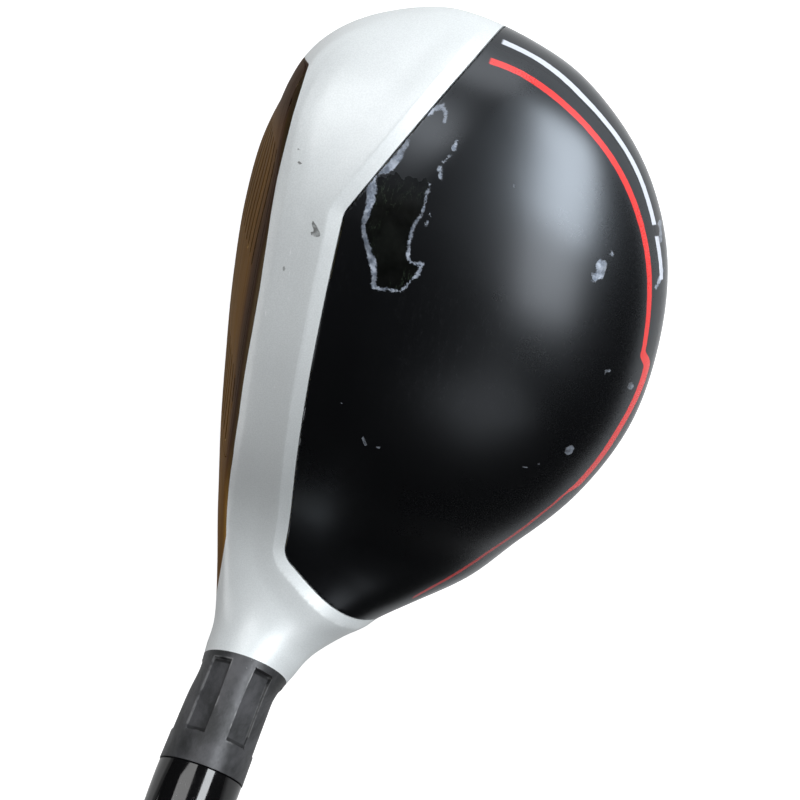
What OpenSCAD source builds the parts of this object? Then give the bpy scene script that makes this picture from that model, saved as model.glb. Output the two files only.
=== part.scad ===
// Fairway wood, right-handed: a hollow steel head with a carbon crown, a bonded graphite shaft
// and a rubber grip. All sizes are in millimetres.
// The club lies at address: the origin is where the shaft axis meets the ground,
// X runs from the face to the rear of the head, Y from heel to toe and Z up.

/* [Club] */
// Angle between the shaft and the ground
lie = 59.5; // [57:0.5:62]
// Angle of the face back from the vertical
loft = 23; // [20:0.5:26]
// Length along the shaft axis, from the ground to the end of the grip
club_l = 1067; // [1000:1:1120]

/* [Head outside] */
// Shaft axis to the farthest point of the toe
toe_reach = 87; // [82:0.5:92]
// Shaft axis to the rear edge of the head
rear_reach = 49; // [45:0.5:54]
// Leading edge ahead of the shaft axis
face_progression = 22; // [20:0.5:24]
// Height of the middle of the top line above the ground
top_line_height = 36.8; // [35:0.2:40]
// Height of the farthest point of the toe
toe_height = 17.5; // [15:0.5:20]
// Farthest point of the toe behind the shaft axis
toe_back = 8.5; // [6:0.5:11]
// Bulge radius of the face from sole to top line
roll_r = 300; // [250:5:400]
// Rounding of the top line
top_edge_r = 1.6; // [1:0.1:2.4]
// Rounding of the leading edge
lead_edge_r = 2.4; // [1:0.1:3]

/* [Head walls] */
// Thickness of the face plate
face_t = 2.2; // [1.8:0.1:3]
// Thickness of the skirt
skirt_t = 1.4; // [1:0.1:2]
// Thickness of the sole
sole_t = 1.8; // [1.2:0.1:2.5]
// Width of the steel rim left round the face plate
face_rim = 2.4; // [2:0.1:4]
// Weld gap all round the face plate
weld_gap = 0.1; // [0.05:0.05:0.2]

/* [Score lines] */
// Number of score lines, one above the other
score_lines = 7; // [4:1:8]
// Distance from one score line to the next
score_pitch = 3.2; // [2.8:0.1:3.6]
// Top score line below the top line
score_drop = 5.8; // [5:0.1:8]
// Width of each score line
score_w = 0.8; // [0.5:0.05:0.9]
// Depth of each score line
score_depth = 0.35; // [0.2:0.05:0.5]
// Length of the score lines on each side of the face
score_l = 17; // [12:0.5:19]
// Plain middle of the face between them
score_clear = 18; // [12:0.5:24]
// Steel left between the score lines and the edge of the face plate
score_margin = 2; // [1:0.5:4]

/* [Crown panel] */
// Thickness of the carbon crown panel
panel_t = 1; // [0.7:0.1:1.4]
// Thickness of the adhesive under the crown panel
bond_t = 0.2; // [0.1:0.05:0.3]
// Thickness of the ledge that carries the crown panel
ledge_t = 0.9; // [0.7:0.1:1.3]
// Width of that ledge
ledge_w = 5; // [3:0.5:7]
// Steel rim left outside the crown panel at the rear
crown_rim = 2.5; // [2:0.25:4]
// Front edge of the crown panel behind the shaft axis
panel_front = 1.9; // [1:0.1:4]
// How much farther back the front edge meets the toe
panel_toe_back = 13; // [10:0.5:16]
// Distance from the shaft axis to the bend of the front edge near the toe
panel_bend_y = 60.9; // [56:0.1:64]
// Distance from the shaft axis to its bend at the heel
panel_corner_y = 0.2; // [0:0.1:3]
// How much farther back the front edge leaves the heel
panel_heel_back = 15.8; // [13:0.2:18]
// How far past the shaft axis it leaves the heel
panel_heel_y = 10.3; // [9:0.1:11]
// Radius of both bends
panel_bend_r = 3.5; // [2:0.5:6]
// Gap all round the crown panel
panel_gap = 0.15; // [0.1:0.05:0.3]

/* [Sole slot] */
// Length of the slot through the sole
slot_l = 60; // [40:1:66]
// Width of that slot
slot_w = 4.5; // [3:0.5:6]
// Middle of the slot behind the leading edge
slot_back = 13; // [12:0.5:16]
// Thickness of the filler's inside flange
slot_flange_t = 1.2; // [0.8:0.1:2]
// How far that flange reaches past the slot
slot_flange_w = 1.8; // [1:0.1:3]
// Gap all round the filler
slot_gap = 0.1; // [0.05:0.05:0.2]

/* [Weights] */
// Diameter of the two mass pads cast in the sole
pad_d = 19; // [16:1:24]
// Height of the mass pads above the sole's inside
pad_h = 3.5; // [3:0.5:8]
// Thickness of the two ribs across the sole
rib_t = 1; // [0.8:0.1:1.5]
// Height of those ribs
rib_h = 2.5; // [1:0.5:4]
// Diameter of the tacky spot that traps loose particles
tack_d = 18; // [10:1:24]
// Thickness of that spot
tack_t = 1.6; // [1:0.1:3]
// Middle of that spot behind the shaft axis
tack_back = 24; // [20:0.5:28]
// Clear floor between the pads, the ribs, the spot and the slot filler
floor_gap = 0.5; // [0.4:0.1:2]

/* [Hosel] */
// Distance along the shaft axis from the ground to the top of the hosel
hosel_top = 58.5; // [56:0.5:62]
// Outer diameter of the hosel at its top
hosel_d = 14; // [13.2:0.1:14.6]
// Length over which the neck grows into the head
neck_l = 10; // [8:0.5:12]
// Depth of the shaft bore
bore_depth = 31.8; // [28:0.2:34]
// Steel left under the bore
bore_floor = 4; // [3:0.5:6]
// Outer diameter of the hosel tube inside the head
hosel_inner_d = 12.6; // [12:0.1:13]
// Number of flutes round the hosel
flutes = 6; // [4:1:8]
// Width of each flute
flute_w = 3.6; // [2:0.1:4]
// Depth of each flute
flute_depth = 0.55; // [0.3:0.05:0.8]
// Distance along the axis from the ground to the lower end of the flutes
flute_low = 42; // [41:0.5:44]
// Length of the flutes
flute_l = 12; // [8:0.5:13]
// Turn of the flutes about the shaft axis
flute_turn = -9; // [-30:1:30]

/* [Shaft] */
// Diameter of the parallel tip of the shaft
tip_d = 8.5; // [8.4:0.01:9.4]
// Length of the parallel tip
tip_parallel = 110; // [100:1:130]
// Diameter of the shaft at its butt
butt_d = 15.2; // [14.5:0.1:15.8]
// Length of the parallel butt
butt_parallel = 150; // [100:5:200]
// Wall of the shaft
shaft_t = 1.6; // [1.2:0.1:2]
// Glue film between the shaft and the bore
glue_t = 0.12; // [0.08:0.01:0.2]
// Thickness of the paint, which starts above the ferrule
paint_t = 0.1; // [0.05:0.01:0.2]
// Gap between the swing-weight pin and the inside of the shaft
pin_gap = 0.15; // [0.1:0.05:0.4]
// Length of that pin
tip_pin_l = 22; // [10:1:26]
// Thickness of the pin's head, which stops it at the tip
tip_pin_head_t = 1.2; // [0.8:0.1:2]

/* [Ferrule] */
// Length of the ferrule
ferrule_l = 24; // [18:1:30]
// Diameter of the ferrule where it meets the hosel
ferrule_d = 13.8; // [13:0.1:14.4]
// Diameter of the ferrule at its thin end
ferrule_thin_d = 9.6; // [9.2:0.1:10.5]

/* [Grip] */
// Length of the grip, with its cap
grip_l = 268; // [255:1:280]
// Diameter of the grip at the mouth
grip_mouth_d = 18.6; // [18:0.1:20]
// Diameter of the grip under the cap
grip_butt_d = 27; // [25:0.1:29]
// Thickness of the double-sided tape under the grip
tape_t = 0.15; // [0.1:0.05:0.3]
// Thickness of the grip's cap
cap_t = 3.2; // [2:0.1:5]
// How far the cap's rim stands out past the grip
cap_lip = 1.25; // [0.5:0.25:2]
// Dish in the middle of the cap
cap_dish = 0.4; // [0.2:0.1:0.8]
// Width of the cap's rounded rim
cap_rim = 4.5; // [3:0.5:6]
// Diameter of the vent hole
vent_d = 2.4; // [2:0.1:4]
// Number of grooves round the grip
grip_grooves = 5; // [0:1:8]
// Depth of those grooves
groove_depth = 0.35; // [0.2:0.05:0.6]
// Width of those grooves
groove_w = 1.2; // [0.8:0.1:2]
// How far the tape stops short of the grip's mouth
tape_short = 4; // [2:0.5:8]

/* [Hidden] */

eps = 0.01;
// How far a cutter reaches past what it cuts
past = 1;
// The head is lofted through flat sections. From the toe to the heel they stand upright, and
// round the heel they fan about a pivot above the crown until they lie square to the shaft.
pivot_y = 12;
pivot_z = 52;
pivot_to_axis = pivot_y*sin(lie) + pivot_z*cos(lie);
pivot_run = pivot_z*sin(lie) - pivot_y*cos(lie);
axis_h = pivot_z - pivot_to_axis;
hosel_r = hosel_d/2;
// The loft hands over to the turned end of the hosel here, along the axis from the ground
loft_end = pivot_run + neck_l;
top_h = top_line_height;

// Each section holds: place from heel to toe, fan angle, run along the shaft axis,
// front edge x and height, top line x and height, rear edge x and height,
// rise of the crown behind the top line, height of the sole, roundness from 0 to 1.
// x of the top line follows from the loft, and its share of the loft fades towards the toe.
function head_row(y, fan, front, front_h, loft_share, top, rear, rear_h, rise, sole, round) =
    let (lx = -face_progression*front, lh = top_h*front_h, th = top_h*top)
    [y*toe_reach, fan*lie, 0, lx, lh, lx + (th - lh)*tan(loft)*loft_share, th,
     rear*rear_reach, top_h*rear_h, rise, top_h*sole, round];
function hosel_row(run, front, rear, top, low) =
    [pivot_y, lie, run, -front*hosel_r, axis_h, -front*hosel_r, axis_h + top*hosel_r,
     rear*hosel_r, axis_h, 0, axis_h - low*hosel_r, 1];
function pole_row(x, h) = [toe_reach, 0, 0, x, h, x, h, x, h, 0, h, 1];
neck_y = pivot_y/toe_reach;

ROWS = [
    pole_row(toe_back, toe_height),
    head_row(0.971, 0, 0.068, 0.33, 0.1, 0.65, 0.46, 0.49, 0.1, 0.3, 0.9),
    head_row(0.914, 0, 0.432, 0.245, 0.3, 0.79, 0.653, 0.503, 0.16, 0.2, 0.5),
    head_row(0.828, 0, 0.727, 0.163, 0.68, 0.897, 0.816, 0.516, 0.18, 0.13, 0.2),
    head_row(0.713, 0, 0.909, 0.122, 0.92, 0.965, 0.935, 0.53, 0.2, 0.07, 0),
    head_row(0.575, 0, 0.99, 0.109, 1, 1, 0.994, 0.543, 0.2, 0.02, 0),
    head_row(0.425, 0, 0.995, 0.109, 1, 1, 0.998, 0.557, 0.18, 0, 0),
    head_row(0.276, 0, 0.95, 0.136, 0.99, 0.946, 0.924, 0.57, 0.15, 0.02, 0),
    head_row(0.167, 0.067, 0.882, 0.177, 0.98, 0.87, 0.798, 0.584, 0.1, 0.05, 0.1),
    head_row(neck_y, 0.336, 0.705, 0.217, 0.76, 0.788, 0.663, 0.516, 0.05, 0.095, 0.3),
    head_row(neck_y, 0.64, 0.49, 0.245, 0.4, 0.707, 0.422, 0.462, 0, 0.15, 0.65),
    head_row(neck_y, 0.874, 0.35, 0.245, 0.1, 0.647, 0.235, 0.424, 0, 0.19, 0.95),
    hosel_row(0.05*neck_l, 1.015, 1.243, 1.1, 1.1),
    hosel_row(0.5*neck_l, 0.95, 1.03, 1.04, 1.04),
    hosel_row(neck_l, 0.985, 0.985, 0.985, 0.985)
];
last = len(ROWS) - 1;

// Row i, with the rows carried on past both ends: mirrored at the toe, straight at the hosel
function row_at(rows, i) =
    i < 0 ? let (m = 2*rows[0] - rows[1]) [for (k = [0:len(m) - 1]) k == 0 ? rows[1][0] : m[k]]
    : i > last ? 2*rows[last] - rows[last - 1]
    : rows[i];
// Smooth curve through the rows
function row_between(rows, u) =
    let (i = min(floor(u), last - 1), t = u - i, p0 = row_at(rows, i - 1), p1 = rows[i],
         p2 = rows[i + 1], p3 = row_at(rows, i + 2))
    0.5*(2*p1 + (p2 - p0)*t + (2*p0 - 5*p1 + 4*p2 - p3)*t*t + (3*p1 - p0 - 3*p2 + p3)*t*t*t);

// The same row with walls taken off: face, rear, top, sole and toe
function thinned(r, face, rear, top, sole, toe) =
    r[3] == r[7]
    ? [r[0] - toe, r[1], r[2], r[3], r[4], r[5], r[6], r[7], r[8], r[9], r[10], r[11]]
    : let (mid = (r[6] + r[10])/2, half = (r[6] - r[10])/2, low = half - sole, high = half - top)
      [pivot_y + (r[0] - pivot_y)*(toe_reach - toe - pivot_y)/(toe_reach - pivot_y), r[1], r[2],
       r[3] + face, mid - (mid - r[4])*low/half, r[5] + face, r[6] - top, r[7] - rear,
       r[8] + (sole - top)/2, r[9], r[10] + sole, r[11]];

function bezier(a, b, c, d, t) =
    pow(1 - t, 3)*a + 3*pow(1 - t, 2)*t*b + 3*(1 - t)*t*t*c + pow(t, 3)*d;
function steps(n) = [for (i = [0:n - 1]) i/n];

// Number of steps up the face, over the crown, down the skirt and along the sole of each section
FACE_N = 2;
CROWN_N = 14;
SKIRT_N = 8;
SOLE_N = 4;

// A section's outline: x and height
function section(r) =
    let (
        low = [r[3], r[4]], top = [r[5], r[6]], rear = [r[7], r[8]],
        bottom = [r[3] + 0.42*(r[7] - r[3]), r[10]],
        deep = r[7] - r[5], rise = r[9],
        up = top - low, face_l = max(norm(up), eps), out = [-up[1], up[0]]/face_l,
        lip = [0.15*(bottom[0] - r[3]), -0.9*(r[4] - r[10])],
        face = function(t) low + up*t + out*t*(1 - t)*face_l*face_l/(2*roll_r),
        crown = function(t) bezier(top, top + 0.42*deep*[1, rise],
            rear + [0, 0.72*(r[6] - r[8]) + 0.16*deep*max(rise, 0)], rear, t),
        skirt = function(t) bezier(rear, rear - [0, 0.6*(r[8] - r[10])],
            bottom + [0.62*(r[7] - bottom[0]), 0], bottom, t),
        sole = function(t) bezier(bottom, bottom - [0.45*(bottom[0] - r[3]), 0], low + lip, low, t),
        // where the rounded edges begin, as shares of the face, the crown and the sole
        face_top = 1 - min(top_edge_r/face_l, 0.3),
        crown_start = min(top_edge_r/max(1.26*deep*norm([1, rise]), eps), 0.3),
        face_low = min(lead_edge_r/face_l, 0.3),
        sole_end = 1 - min(lead_edge_r/max(3*norm(lip), eps), 0.45),
        head = concat(
            [for (t = steps(FACE_N)) face(face_low + (face_top - face_low)*t)],
            [face(face_top), (face(face_top) + 2*top + crown(crown_start))/4],
            [for (t = steps(CROWN_N)) crown(crown_start + (1 - crown_start)*t)],
            [for (t = steps(SKIRT_N)) skirt(t)],
            [for (t = steps(SOLE_N)) sole(sole_end*t)],
            [sole(sole_end), (sole(sole_end) + 2*low + face(face_low))/4]),
        angles = concat(
            [for (t = steps(FACE_N)) 210 - 60*t],
            [150, 140],
            [for (t = steps(CROWN_N)) 130*(1 - t)],
            [for (t = steps(SKIRT_N)) -90*t],
            [for (t = steps(SOLE_N)) -90 - 40*t],
            [-130, -140]),
        centre = [r[3] + r[7], r[6] + r[10]]/2,
        rx = (r[7] - r[3])/2, rh = (r[6] - r[10])/2)
    [for (i = [0:len(head) - 1])
        (1 - r[11])*head[i] + r[11]*(centre + [rx*cos(angles[i]), rh*sin(angles[i])])];

// A point of a section set in its plane
function placed(r, p) =
    let (out = pivot_z - p[1])
    [p[0], r[0] - out*sin(r[1]) - r[2]*cos(r[1]), pivot_z - out*cos(r[1]) + r[2]*sin(r[1])];
function ring(rows, u) =
    let (r = row_between(rows, u)) [for (p = section(r)) placed(r, p)];

// The head's form from the toe to the section at u = end, with n steps from row to row
// and one more section close to the toe
module form(end, n, face = 0, rear = 0, top = 0, sole = 0, toe = 0) {
    rows = [for (r = ROWS) thinned(r, face, rear, top, sole, toe)];
    rings = concat([ring(rows, 0.4/n)], [for (i = [1:round(end*n)]) ring(rows, i/n)]);
    count = len(rings);
    ring_n = len(rings[0]);
    points = concat([placed(rows[0], [rows[0][3], rows[0][4]])], [for (one = rings) each one]);
    faces = concat(
        [for (j = [0:ring_n - 1]) [0, 1 + (j + 1)%ring_n, 1 + j]],
        [for (i = [0:count - 2], j = [0:ring_n - 1], k = [0, 1])
            let (a = 1 + i*ring_n + j, b = 1 + i*ring_n + (j + 1)%ring_n)
            k == 0 ? [a, b, b + ring_n] : [a, b + ring_n, a + ring_n]],
        [[for (j = [0:ring_n - 1]) 1 + (count - 1)*ring_n + j]]);
    polyhedron(points, faces, convexity = 6);
}

OUTSIDE_N = 3;
INSIDE_N = 2;
// Rows at the heel where the hollow, the crown panel and what follows the crown end
CAVITY_ROW = 9.5;
PANEL_ROW = 9.6;
HEEL_ROW = 10;
crown_t = panel_t + bond_t + ledge_t;

module outside() form(last, OUTSIDE_N);
module under(d, end = HEEL_ROW) form(end, OUTSIDE_N, rear = d, top = d, sole = d, toe = d);
module cavity() form(CAVITY_ROW, INSIDE_N, face_t, skirt_t, crown_t, sole_t, skirt_t);

// Joins free-form skins into one mesh, at their own size
module skin() resize([0, 0, 0]) children();

// Moves its children so that their +Z runs up the shaft from s, measured from the ground,
// and their +X points to the rear of the head
module on_shaft(s) rotate([90 - lie, 0, 0]) translate([0, 0, s]) children();
module tube(s, l, outer, inner) on_shaft(s) difference() {
    cylinder(h = l, d = outer, $fn = 64);
    translate([0, 0, -past]) cylinder(h = l + 2*past, d = inner, $fn = 64);
}

// Rear line of the head's plan, drawn in by d
function rear_line(d, end) = let (rows = [for (r = ROWS) thinned(r, d, d, 0, 0, d)])
    [for (i = [1:end*OUTSIDE_N]) let (r = row_between(rows, i/OUTSIDE_N), p = placed(r, [r[7], r[8]]))
        [p[0], p[1]]];

// The crown panel's outline seen from above, from its front edge to the rim along the rear
panel_toe = [panel_front + panel_toe_back, toe_reach];
panel_bend = [panel_front, panel_bend_y];
panel_corner = [panel_front, panel_corner_y];
panel_heel = [panel_front + panel_heel_back, -panel_heel_y];
panel_rear = 2*rear_reach;
module panel_plan(d) offset(delta = -d) intersection() {
    offset(r = panel_bend_r, $fn = 32) offset(delta = -panel_bend_r)
        polygon([panel_toe, panel_bend, panel_corner, panel_heel,
            [panel_rear, -rear_reach], [panel_rear, toe_reach]]);
    rim = rear_line(crown_rim, PANEL_ROW);
    polygon(concat([[0, rim[0][1]]], rim, [[0, 1.2*rim[len(rim) - 1][1]]]));
}

// The face plate's outline seen from the front, between the leading edge and the top line
FACE_FIRST_ROW = 2.5;
FACE_LAST_ROW = 7.84;
face_corner_r = 3;
function face_edge(k, sign) = [for (u = [FACE_FIRST_ROW:1/OUTSIDE_N:FACE_LAST_ROW])
    let (r = row_between(ROWS, u), p = placed(r, [r[k - 1], r[k]])) [p[1], p[2] + sign*face_rim]];
module face_plan(d) offset(delta = -d) offset(r = face_corner_r, $fn = 32) offset(delta = -face_corner_r) {
    low = face_edge(4, 1);
    high = face_edge(6, -1);
    polygon(concat(low, [for (i = [len(high) - 1:-1:0]) high[i]]));
}
module from_front() translate([-2*face_progression, 0, 0]) rotate([90, 0, 90])
    linear_extrude(height = 2*face_progression) children();

// The score lines lie level on the heel side and the toe side of the face
middle_y = 0.45*toe_reach;
module score_plan() intersection() {
    face_plan(score_margin);
    for (side = [0, 1], i = [0:score_lines - 1])
        translate([middle_y + side*score_clear - score_clear/2 - (1 - side)*score_l,
            top_h - score_drop - i*score_pitch - score_w]) square([score_l, score_w]);
}

// The sole slot: a long hole with round ends
slot_x = slot_back - face_progression;
module slot_plan(d) hull() for (side = [-1, 1])
    translate([slot_x, middle_y + side*(slot_l - slot_w)/2]) circle(d = slot_w + 2*d, $fn = 24);
module upright(low, high) translate([0, 0, low]) linear_extrude(height = high - low) children();
mid_h = top_h/2;
third_h = top_h/3;

// The layer of the cavity that lies on the sole, h thick, and reaches a little into the walls
root = 0.3;
module sole_layer(h) difference() {
    form(CAVITY_ROW, INSIDE_N, face_t - root, skirt_t - root, crown_t, sole_t - root, skirt_t - root);
    form(CAVITY_ROW, INSIDE_N, face_t + past, skirt_t + past, crown_t, sole_t + h, skirt_t + past);
}
// Pads and ribs stand clear of the slot's filler and of the tacky spot
floor_front = slot_x + slot_w/2 + slot_flange_w + floor_gap;
rib_run = tack_d/2 + floor_gap;
pad_run = rib_run + rib_t + floor_gap + pad_d/2;
module pad_plan() for (side = [-1, 1])
    translate([floor_front + pad_d/2, middle_y + side*pad_run]) circle(d = pad_d, $fn = 32);
module rib_plan() for (side = [-1, 1])
    translate([floor_front, middle_y + side*(rib_run + rib_t/2) - rib_t/2]) square([rear_reach, rib_t]);

bore_d = tip_d + 2*glue_t;
// The bore's tube runs down inside the head and ends within the neck
boss_low = hosel_top - bore_depth - bore_floor;
boss_top = pivot_run + 0.4*neck_l;
// The turned end of the hosel starts a little inside the neck
turned_low = loft_end - past/2;

module head_body() color("silver") difference() {
    union() {
        skin() {
            difference() {
                outside();
                cavity();
                difference() {
                    upright(mid_h, 2*top_h) panel_plan(-panel_gap);
                    under(panel_t + bond_t);
                }
                upright(third_h, 2*top_h) panel_plan(ledge_w);
                from_front() face_plan(-weld_gap);
                upright(-past, third_h) slot_plan(slot_gap);
            }
            intersection() {
                sole_layer(pad_h);
                upright(-past, third_h) pad_plan();
            }
            intersection() {
                sole_layer(rib_h);
                upright(-past, third_h) rib_plan();
            }
        }
        on_shaft(boss_low) cylinder(h = boss_top - boss_low, d = hosel_inner_d, $fn = 64);
        on_shaft(turned_low) cylinder(h = hosel_top - turned_low, d = hosel_d, $fn = 64);
    }
    on_shaft(hosel_top - bore_depth) cylinder(h = bore_depth + past, d = bore_d, $fn = 64);
    on_shaft(flute_low) for (i = [0:flutes - 1]) rotate([0, 0, flute_turn + i*360/flutes])
        translate([hosel_r - flute_depth, -flute_w/2, 0]) cube([hosel_r, flute_w, flute_l]);
}

module face_plate() color("dimgray") skin() difference() {
    intersection() {
        difference() {
            outside();
            form(CAVITY_ROW, INSIDE_N, face_t, -past, -past, -past, -past);
        }
        from_front() face_plan(0);
    }
    difference() {
        from_front() score_plan();
        form(CAVITY_ROW, OUTSIDE_N, score_depth, -past, -past, -past, -past);
    }
}

module crown_panel() color([0.03, 0.03, 0.03]) skin() difference() {
    intersection() {
        outside();
        upright(mid_h, 2*top_h) panel_plan(0);
    }
    under(panel_t);
}

module crown_bond() color("khaki") skin() difference() {
    intersection() {
        under(panel_t);
        upright(mid_h, 2*top_h) panel_plan(0);
    }
    under(panel_t + bond_t);
    upright(third_h, 2*top_h) panel_plan(ledge_w);
}

module slot_filler() color([0.08, 0.08, 0.09]) skin() {
    difference() {
        intersection() {
            outside();
            upright(-past, third_h) slot_plan(0);
        }
        form(CAVITY_ROW, INSIDE_N, face_t, skirt_t, crown_t, sole_t + slot_flange_t, skirt_t);
    }
    difference() {
        intersection() {
            cavity();
            upright(-past, third_h) slot_plan(slot_flange_w);
        }
        form(CAVITY_ROW, INSIDE_N, face_t, skirt_t, crown_t, sole_t + slot_flange_t, skirt_t);
    }
}

module tack_spot() color("wheat") skin() intersection() {
    difference() {
        cavity();
        form(CAVITY_ROW, INSIDE_N, face_t, skirt_t, crown_t, sole_t + tack_t, skirt_t);
    }
    upright(-past, third_h) translate([tack_back, middle_y]) circle(d = tack_d, $fn = 32);
}

shaft_low = hosel_top - bore_depth + tip_pin_head_t;
shaft_top = club_l - cap_t;
taper_low = shaft_low + tip_parallel;
taper_top = shaft_top - butt_parallel;
// Radius of the painted shaft at s along the axis from the ground
function shaft_r_at(s) =
    let (t = max(0, min(1, (s - taper_low)/(taper_top - taper_low))))
    tip_d/2 + paint_t + t*(butt_d/2 - tip_d/2 - paint_t);

module shaft_bond() color("khaki") tube(shaft_low, hosel_top - shaft_low, bore_d, tip_d);

// The tip is bare where it is glued, and painted above the ferrule
module shaft() color([0.08, 0.08, 0.09]) on_shaft(0) rotate_extrude($fn = 64) polygon([
    [tip_d/2 - shaft_t, shaft_low],
    [tip_d/2, shaft_low],
    [tip_d/2, hosel_top + ferrule_l],
    [tip_d/2 + paint_t, hosel_top + ferrule_l],
    [tip_d/2 + paint_t, taper_low],
    [butt_d/2, taper_top],
    [butt_d/2, shaft_top],
    [butt_d/2 - shaft_t, shaft_top],
    [butt_d/2 - shaft_t, taper_top],
    [tip_d/2 - shaft_t, taper_low]
]);

module tip_pin() color("goldenrod") on_shaft(shaft_low - tip_pin_head_t) {
    cylinder(h = tip_pin_head_t, d = tip_d, $fn = 48);
    cylinder(h = tip_pin_head_t + tip_pin_l, d = tip_d - 2*(shaft_t + pin_gap), $fn = 48);
}

// The ferrule tapers in a slight curve from the hosel to the shaft
function ferrule_r(t) = ferrule_thin_d/2 + (ferrule_d - ferrule_thin_d)/2*(1 - pow(t, 1.6));
module ferrule() color([0.02, 0.02, 0.02]) on_shaft(hosel_top) rotate_extrude($fn = 64) polygon(concat(
    [[tip_d/2, ferrule_l], [tip_d/2, 0]],
    [for (i = [0:8]) [ferrule_r(i/8), ferrule_l*i/8]]
));

grip_low = club_l - grip_l;
tape_low = grip_low + tape_short;
knee = max(taper_top, tape_low + tape_short);

module grip_tape() color("tan") on_shaft(0) rotate_extrude($fn = 64) polygon([
    [shaft_r_at(tape_low), tape_low],
    [shaft_r_at(tape_low) + tape_t, tape_low],
    [shaft_r_at(knee) + tape_t, knee],
    [butt_d/2 + tape_t, shaft_top],
    [butt_d/2, shaft_top],
    [shaft_r_at(knee), knee]
]);

// The grip is a long cone whose outside swells under the cap
function grip_r(t) = grip_mouth_d/2 + (grip_butt_d - grip_mouth_d)/2*(0.75*t + 0.25*pow(t, 4));
module grip_sleeve() color([0.05, 0.05, 0.05]) on_shaft(0) difference() {
    rotate_extrude($fn = 64) polygon(concat(
        [[shaft_r_at(knee) + tape_t, knee], [shaft_r_at(grip_low) + tape_t, grip_low]],
        [for (i = [0:12]) [grip_r(i/12), grip_low + (shaft_top - grip_low)*i/12]],
        [[butt_d/2 + tape_t, shaft_top]]
    ));
    for (i = [1:grip_grooves]) {
        t = 0.08 + 0.84*i/(grip_grooves + 1);
        translate([0, 0, grip_low + t*(shaft_top - grip_low)]) difference() {
            cylinder(h = groove_w, d = 2*grip_butt_d, $fn = 64);
            translate([0, 0, -past]) cylinder(h = groove_w + 2*past, r = grip_r(t) - groove_depth, $fn = 64);
        }
    }
}

cap_r = grip_butt_d/2 + cap_lip;
module grip_cap() color([0.05, 0.05, 0.05]) on_shaft(shaft_top) difference() {
    rotate_extrude($fn = 64) polygon(concat(
        [[0, 0], [grip_butt_d/2, 0]],
        [for (a = [-40:20:90]) [cap_r - cap_rim/2*(1 - cos(a)), cap_t/2*(1 + sin(a))]],
        [[0, cap_t - cap_dish]]
    ));
    translate([0, 0, -past]) cylinder(h = cap_t + 2*past, d = vent_d, $fn = 32);
}

head_body();
face_plate();
crown_panel();
crown_bond();
slot_filler();
tack_spot();
shaft_bond();
shaft();
tip_pin();
ferrule();
grip_tape();
grip_sleeve();
grip_cap();
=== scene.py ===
import math
from functools import partialmethod

import bmesh
import bpy
import numpy as np
from mathutils import Matrix, Vector


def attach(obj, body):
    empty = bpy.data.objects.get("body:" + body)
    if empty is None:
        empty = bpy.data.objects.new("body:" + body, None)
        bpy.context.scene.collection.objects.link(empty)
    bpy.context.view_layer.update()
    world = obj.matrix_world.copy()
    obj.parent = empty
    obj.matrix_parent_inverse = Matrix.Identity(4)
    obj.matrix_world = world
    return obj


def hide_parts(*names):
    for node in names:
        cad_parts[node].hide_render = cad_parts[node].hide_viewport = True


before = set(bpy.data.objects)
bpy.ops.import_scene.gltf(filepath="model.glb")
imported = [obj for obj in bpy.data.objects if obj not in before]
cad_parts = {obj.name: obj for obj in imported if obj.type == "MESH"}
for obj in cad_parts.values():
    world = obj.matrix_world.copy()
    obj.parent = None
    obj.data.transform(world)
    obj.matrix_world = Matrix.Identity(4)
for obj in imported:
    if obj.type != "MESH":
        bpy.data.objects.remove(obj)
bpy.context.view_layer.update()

MM = 0.001

# ------------ the head's loft, as in the CAD
LIE, LOFT = math.radians(59.5), math.radians(23)
HOSEL_TOP, HOSEL_R, BORE_DEPTH = 58.5, 7.0, 31.8
TOE, REAR, LEAD, TOP_H = 87.0, 49.0, 22.0, 36.8
TOE_BACK, TOE_HEIGHT = 8.5, 17.5
PIVOT_Y, PIVOT_Z = 12.0, 52.0
PIVOT_RUN = PIVOT_Z * math.sin(LIE) - PIVOT_Y * math.cos(LIE)
AXIS_H = PIVOT_Z - (PIVOT_Y * math.sin(LIE) + PIVOT_Z * math.cos(LIE))
ROLL_R, TOP_EDGE_R, LEAD_EDGE_R = 300.0, 1.6, 2.4
# how far the handles of a section's curves reach, as shares of its depth or its heights
SOLE_TURN = 0.42
CROWN_REACH, CROWN_DROP, CROWN_RISE = 0.42, 0.72, 0.16
SKIRT_DROP, SKIRT_REACH = 0.6, 0.62
SOLE_REACH, LEAD_REACH, LEAD_DROP = 0.45, 0.15, 0.9
SHAFT = np.array([0, -math.cos(LIE), math.sin(LIE)])
SIDE = np.array([0, math.sin(LIE), math.cos(LIE)])


def head_row(y, fan, front, front_h, share, top, rear, rear_h, rise, sole, blend):
    """A section across the head, from shares of the head's sizes."""
    lx, lh, th = -LEAD * front, TOP_H * front_h, TOP_H * top
    return [y * TOE, fan * LIE, 0, lx, lh, lx + (th - lh) * math.tan(LOFT) * share, th,
            rear * REAR, TOP_H * rear_h, rise, TOP_H * sole, blend]


def hosel_row(run, front, rear, top, low):
    """A section square to the shaft axis, run mm along it from the pivot, in hosel radii."""
    return [PIVOT_Y, LIE, run, -front * HOSEL_R, AXIS_H, -front * HOSEL_R, AXIS_H + top * HOSEL_R,
            rear * HOSEL_R, AXIS_H, 0, AXIS_H - low * HOSEL_R, 1]


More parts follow.
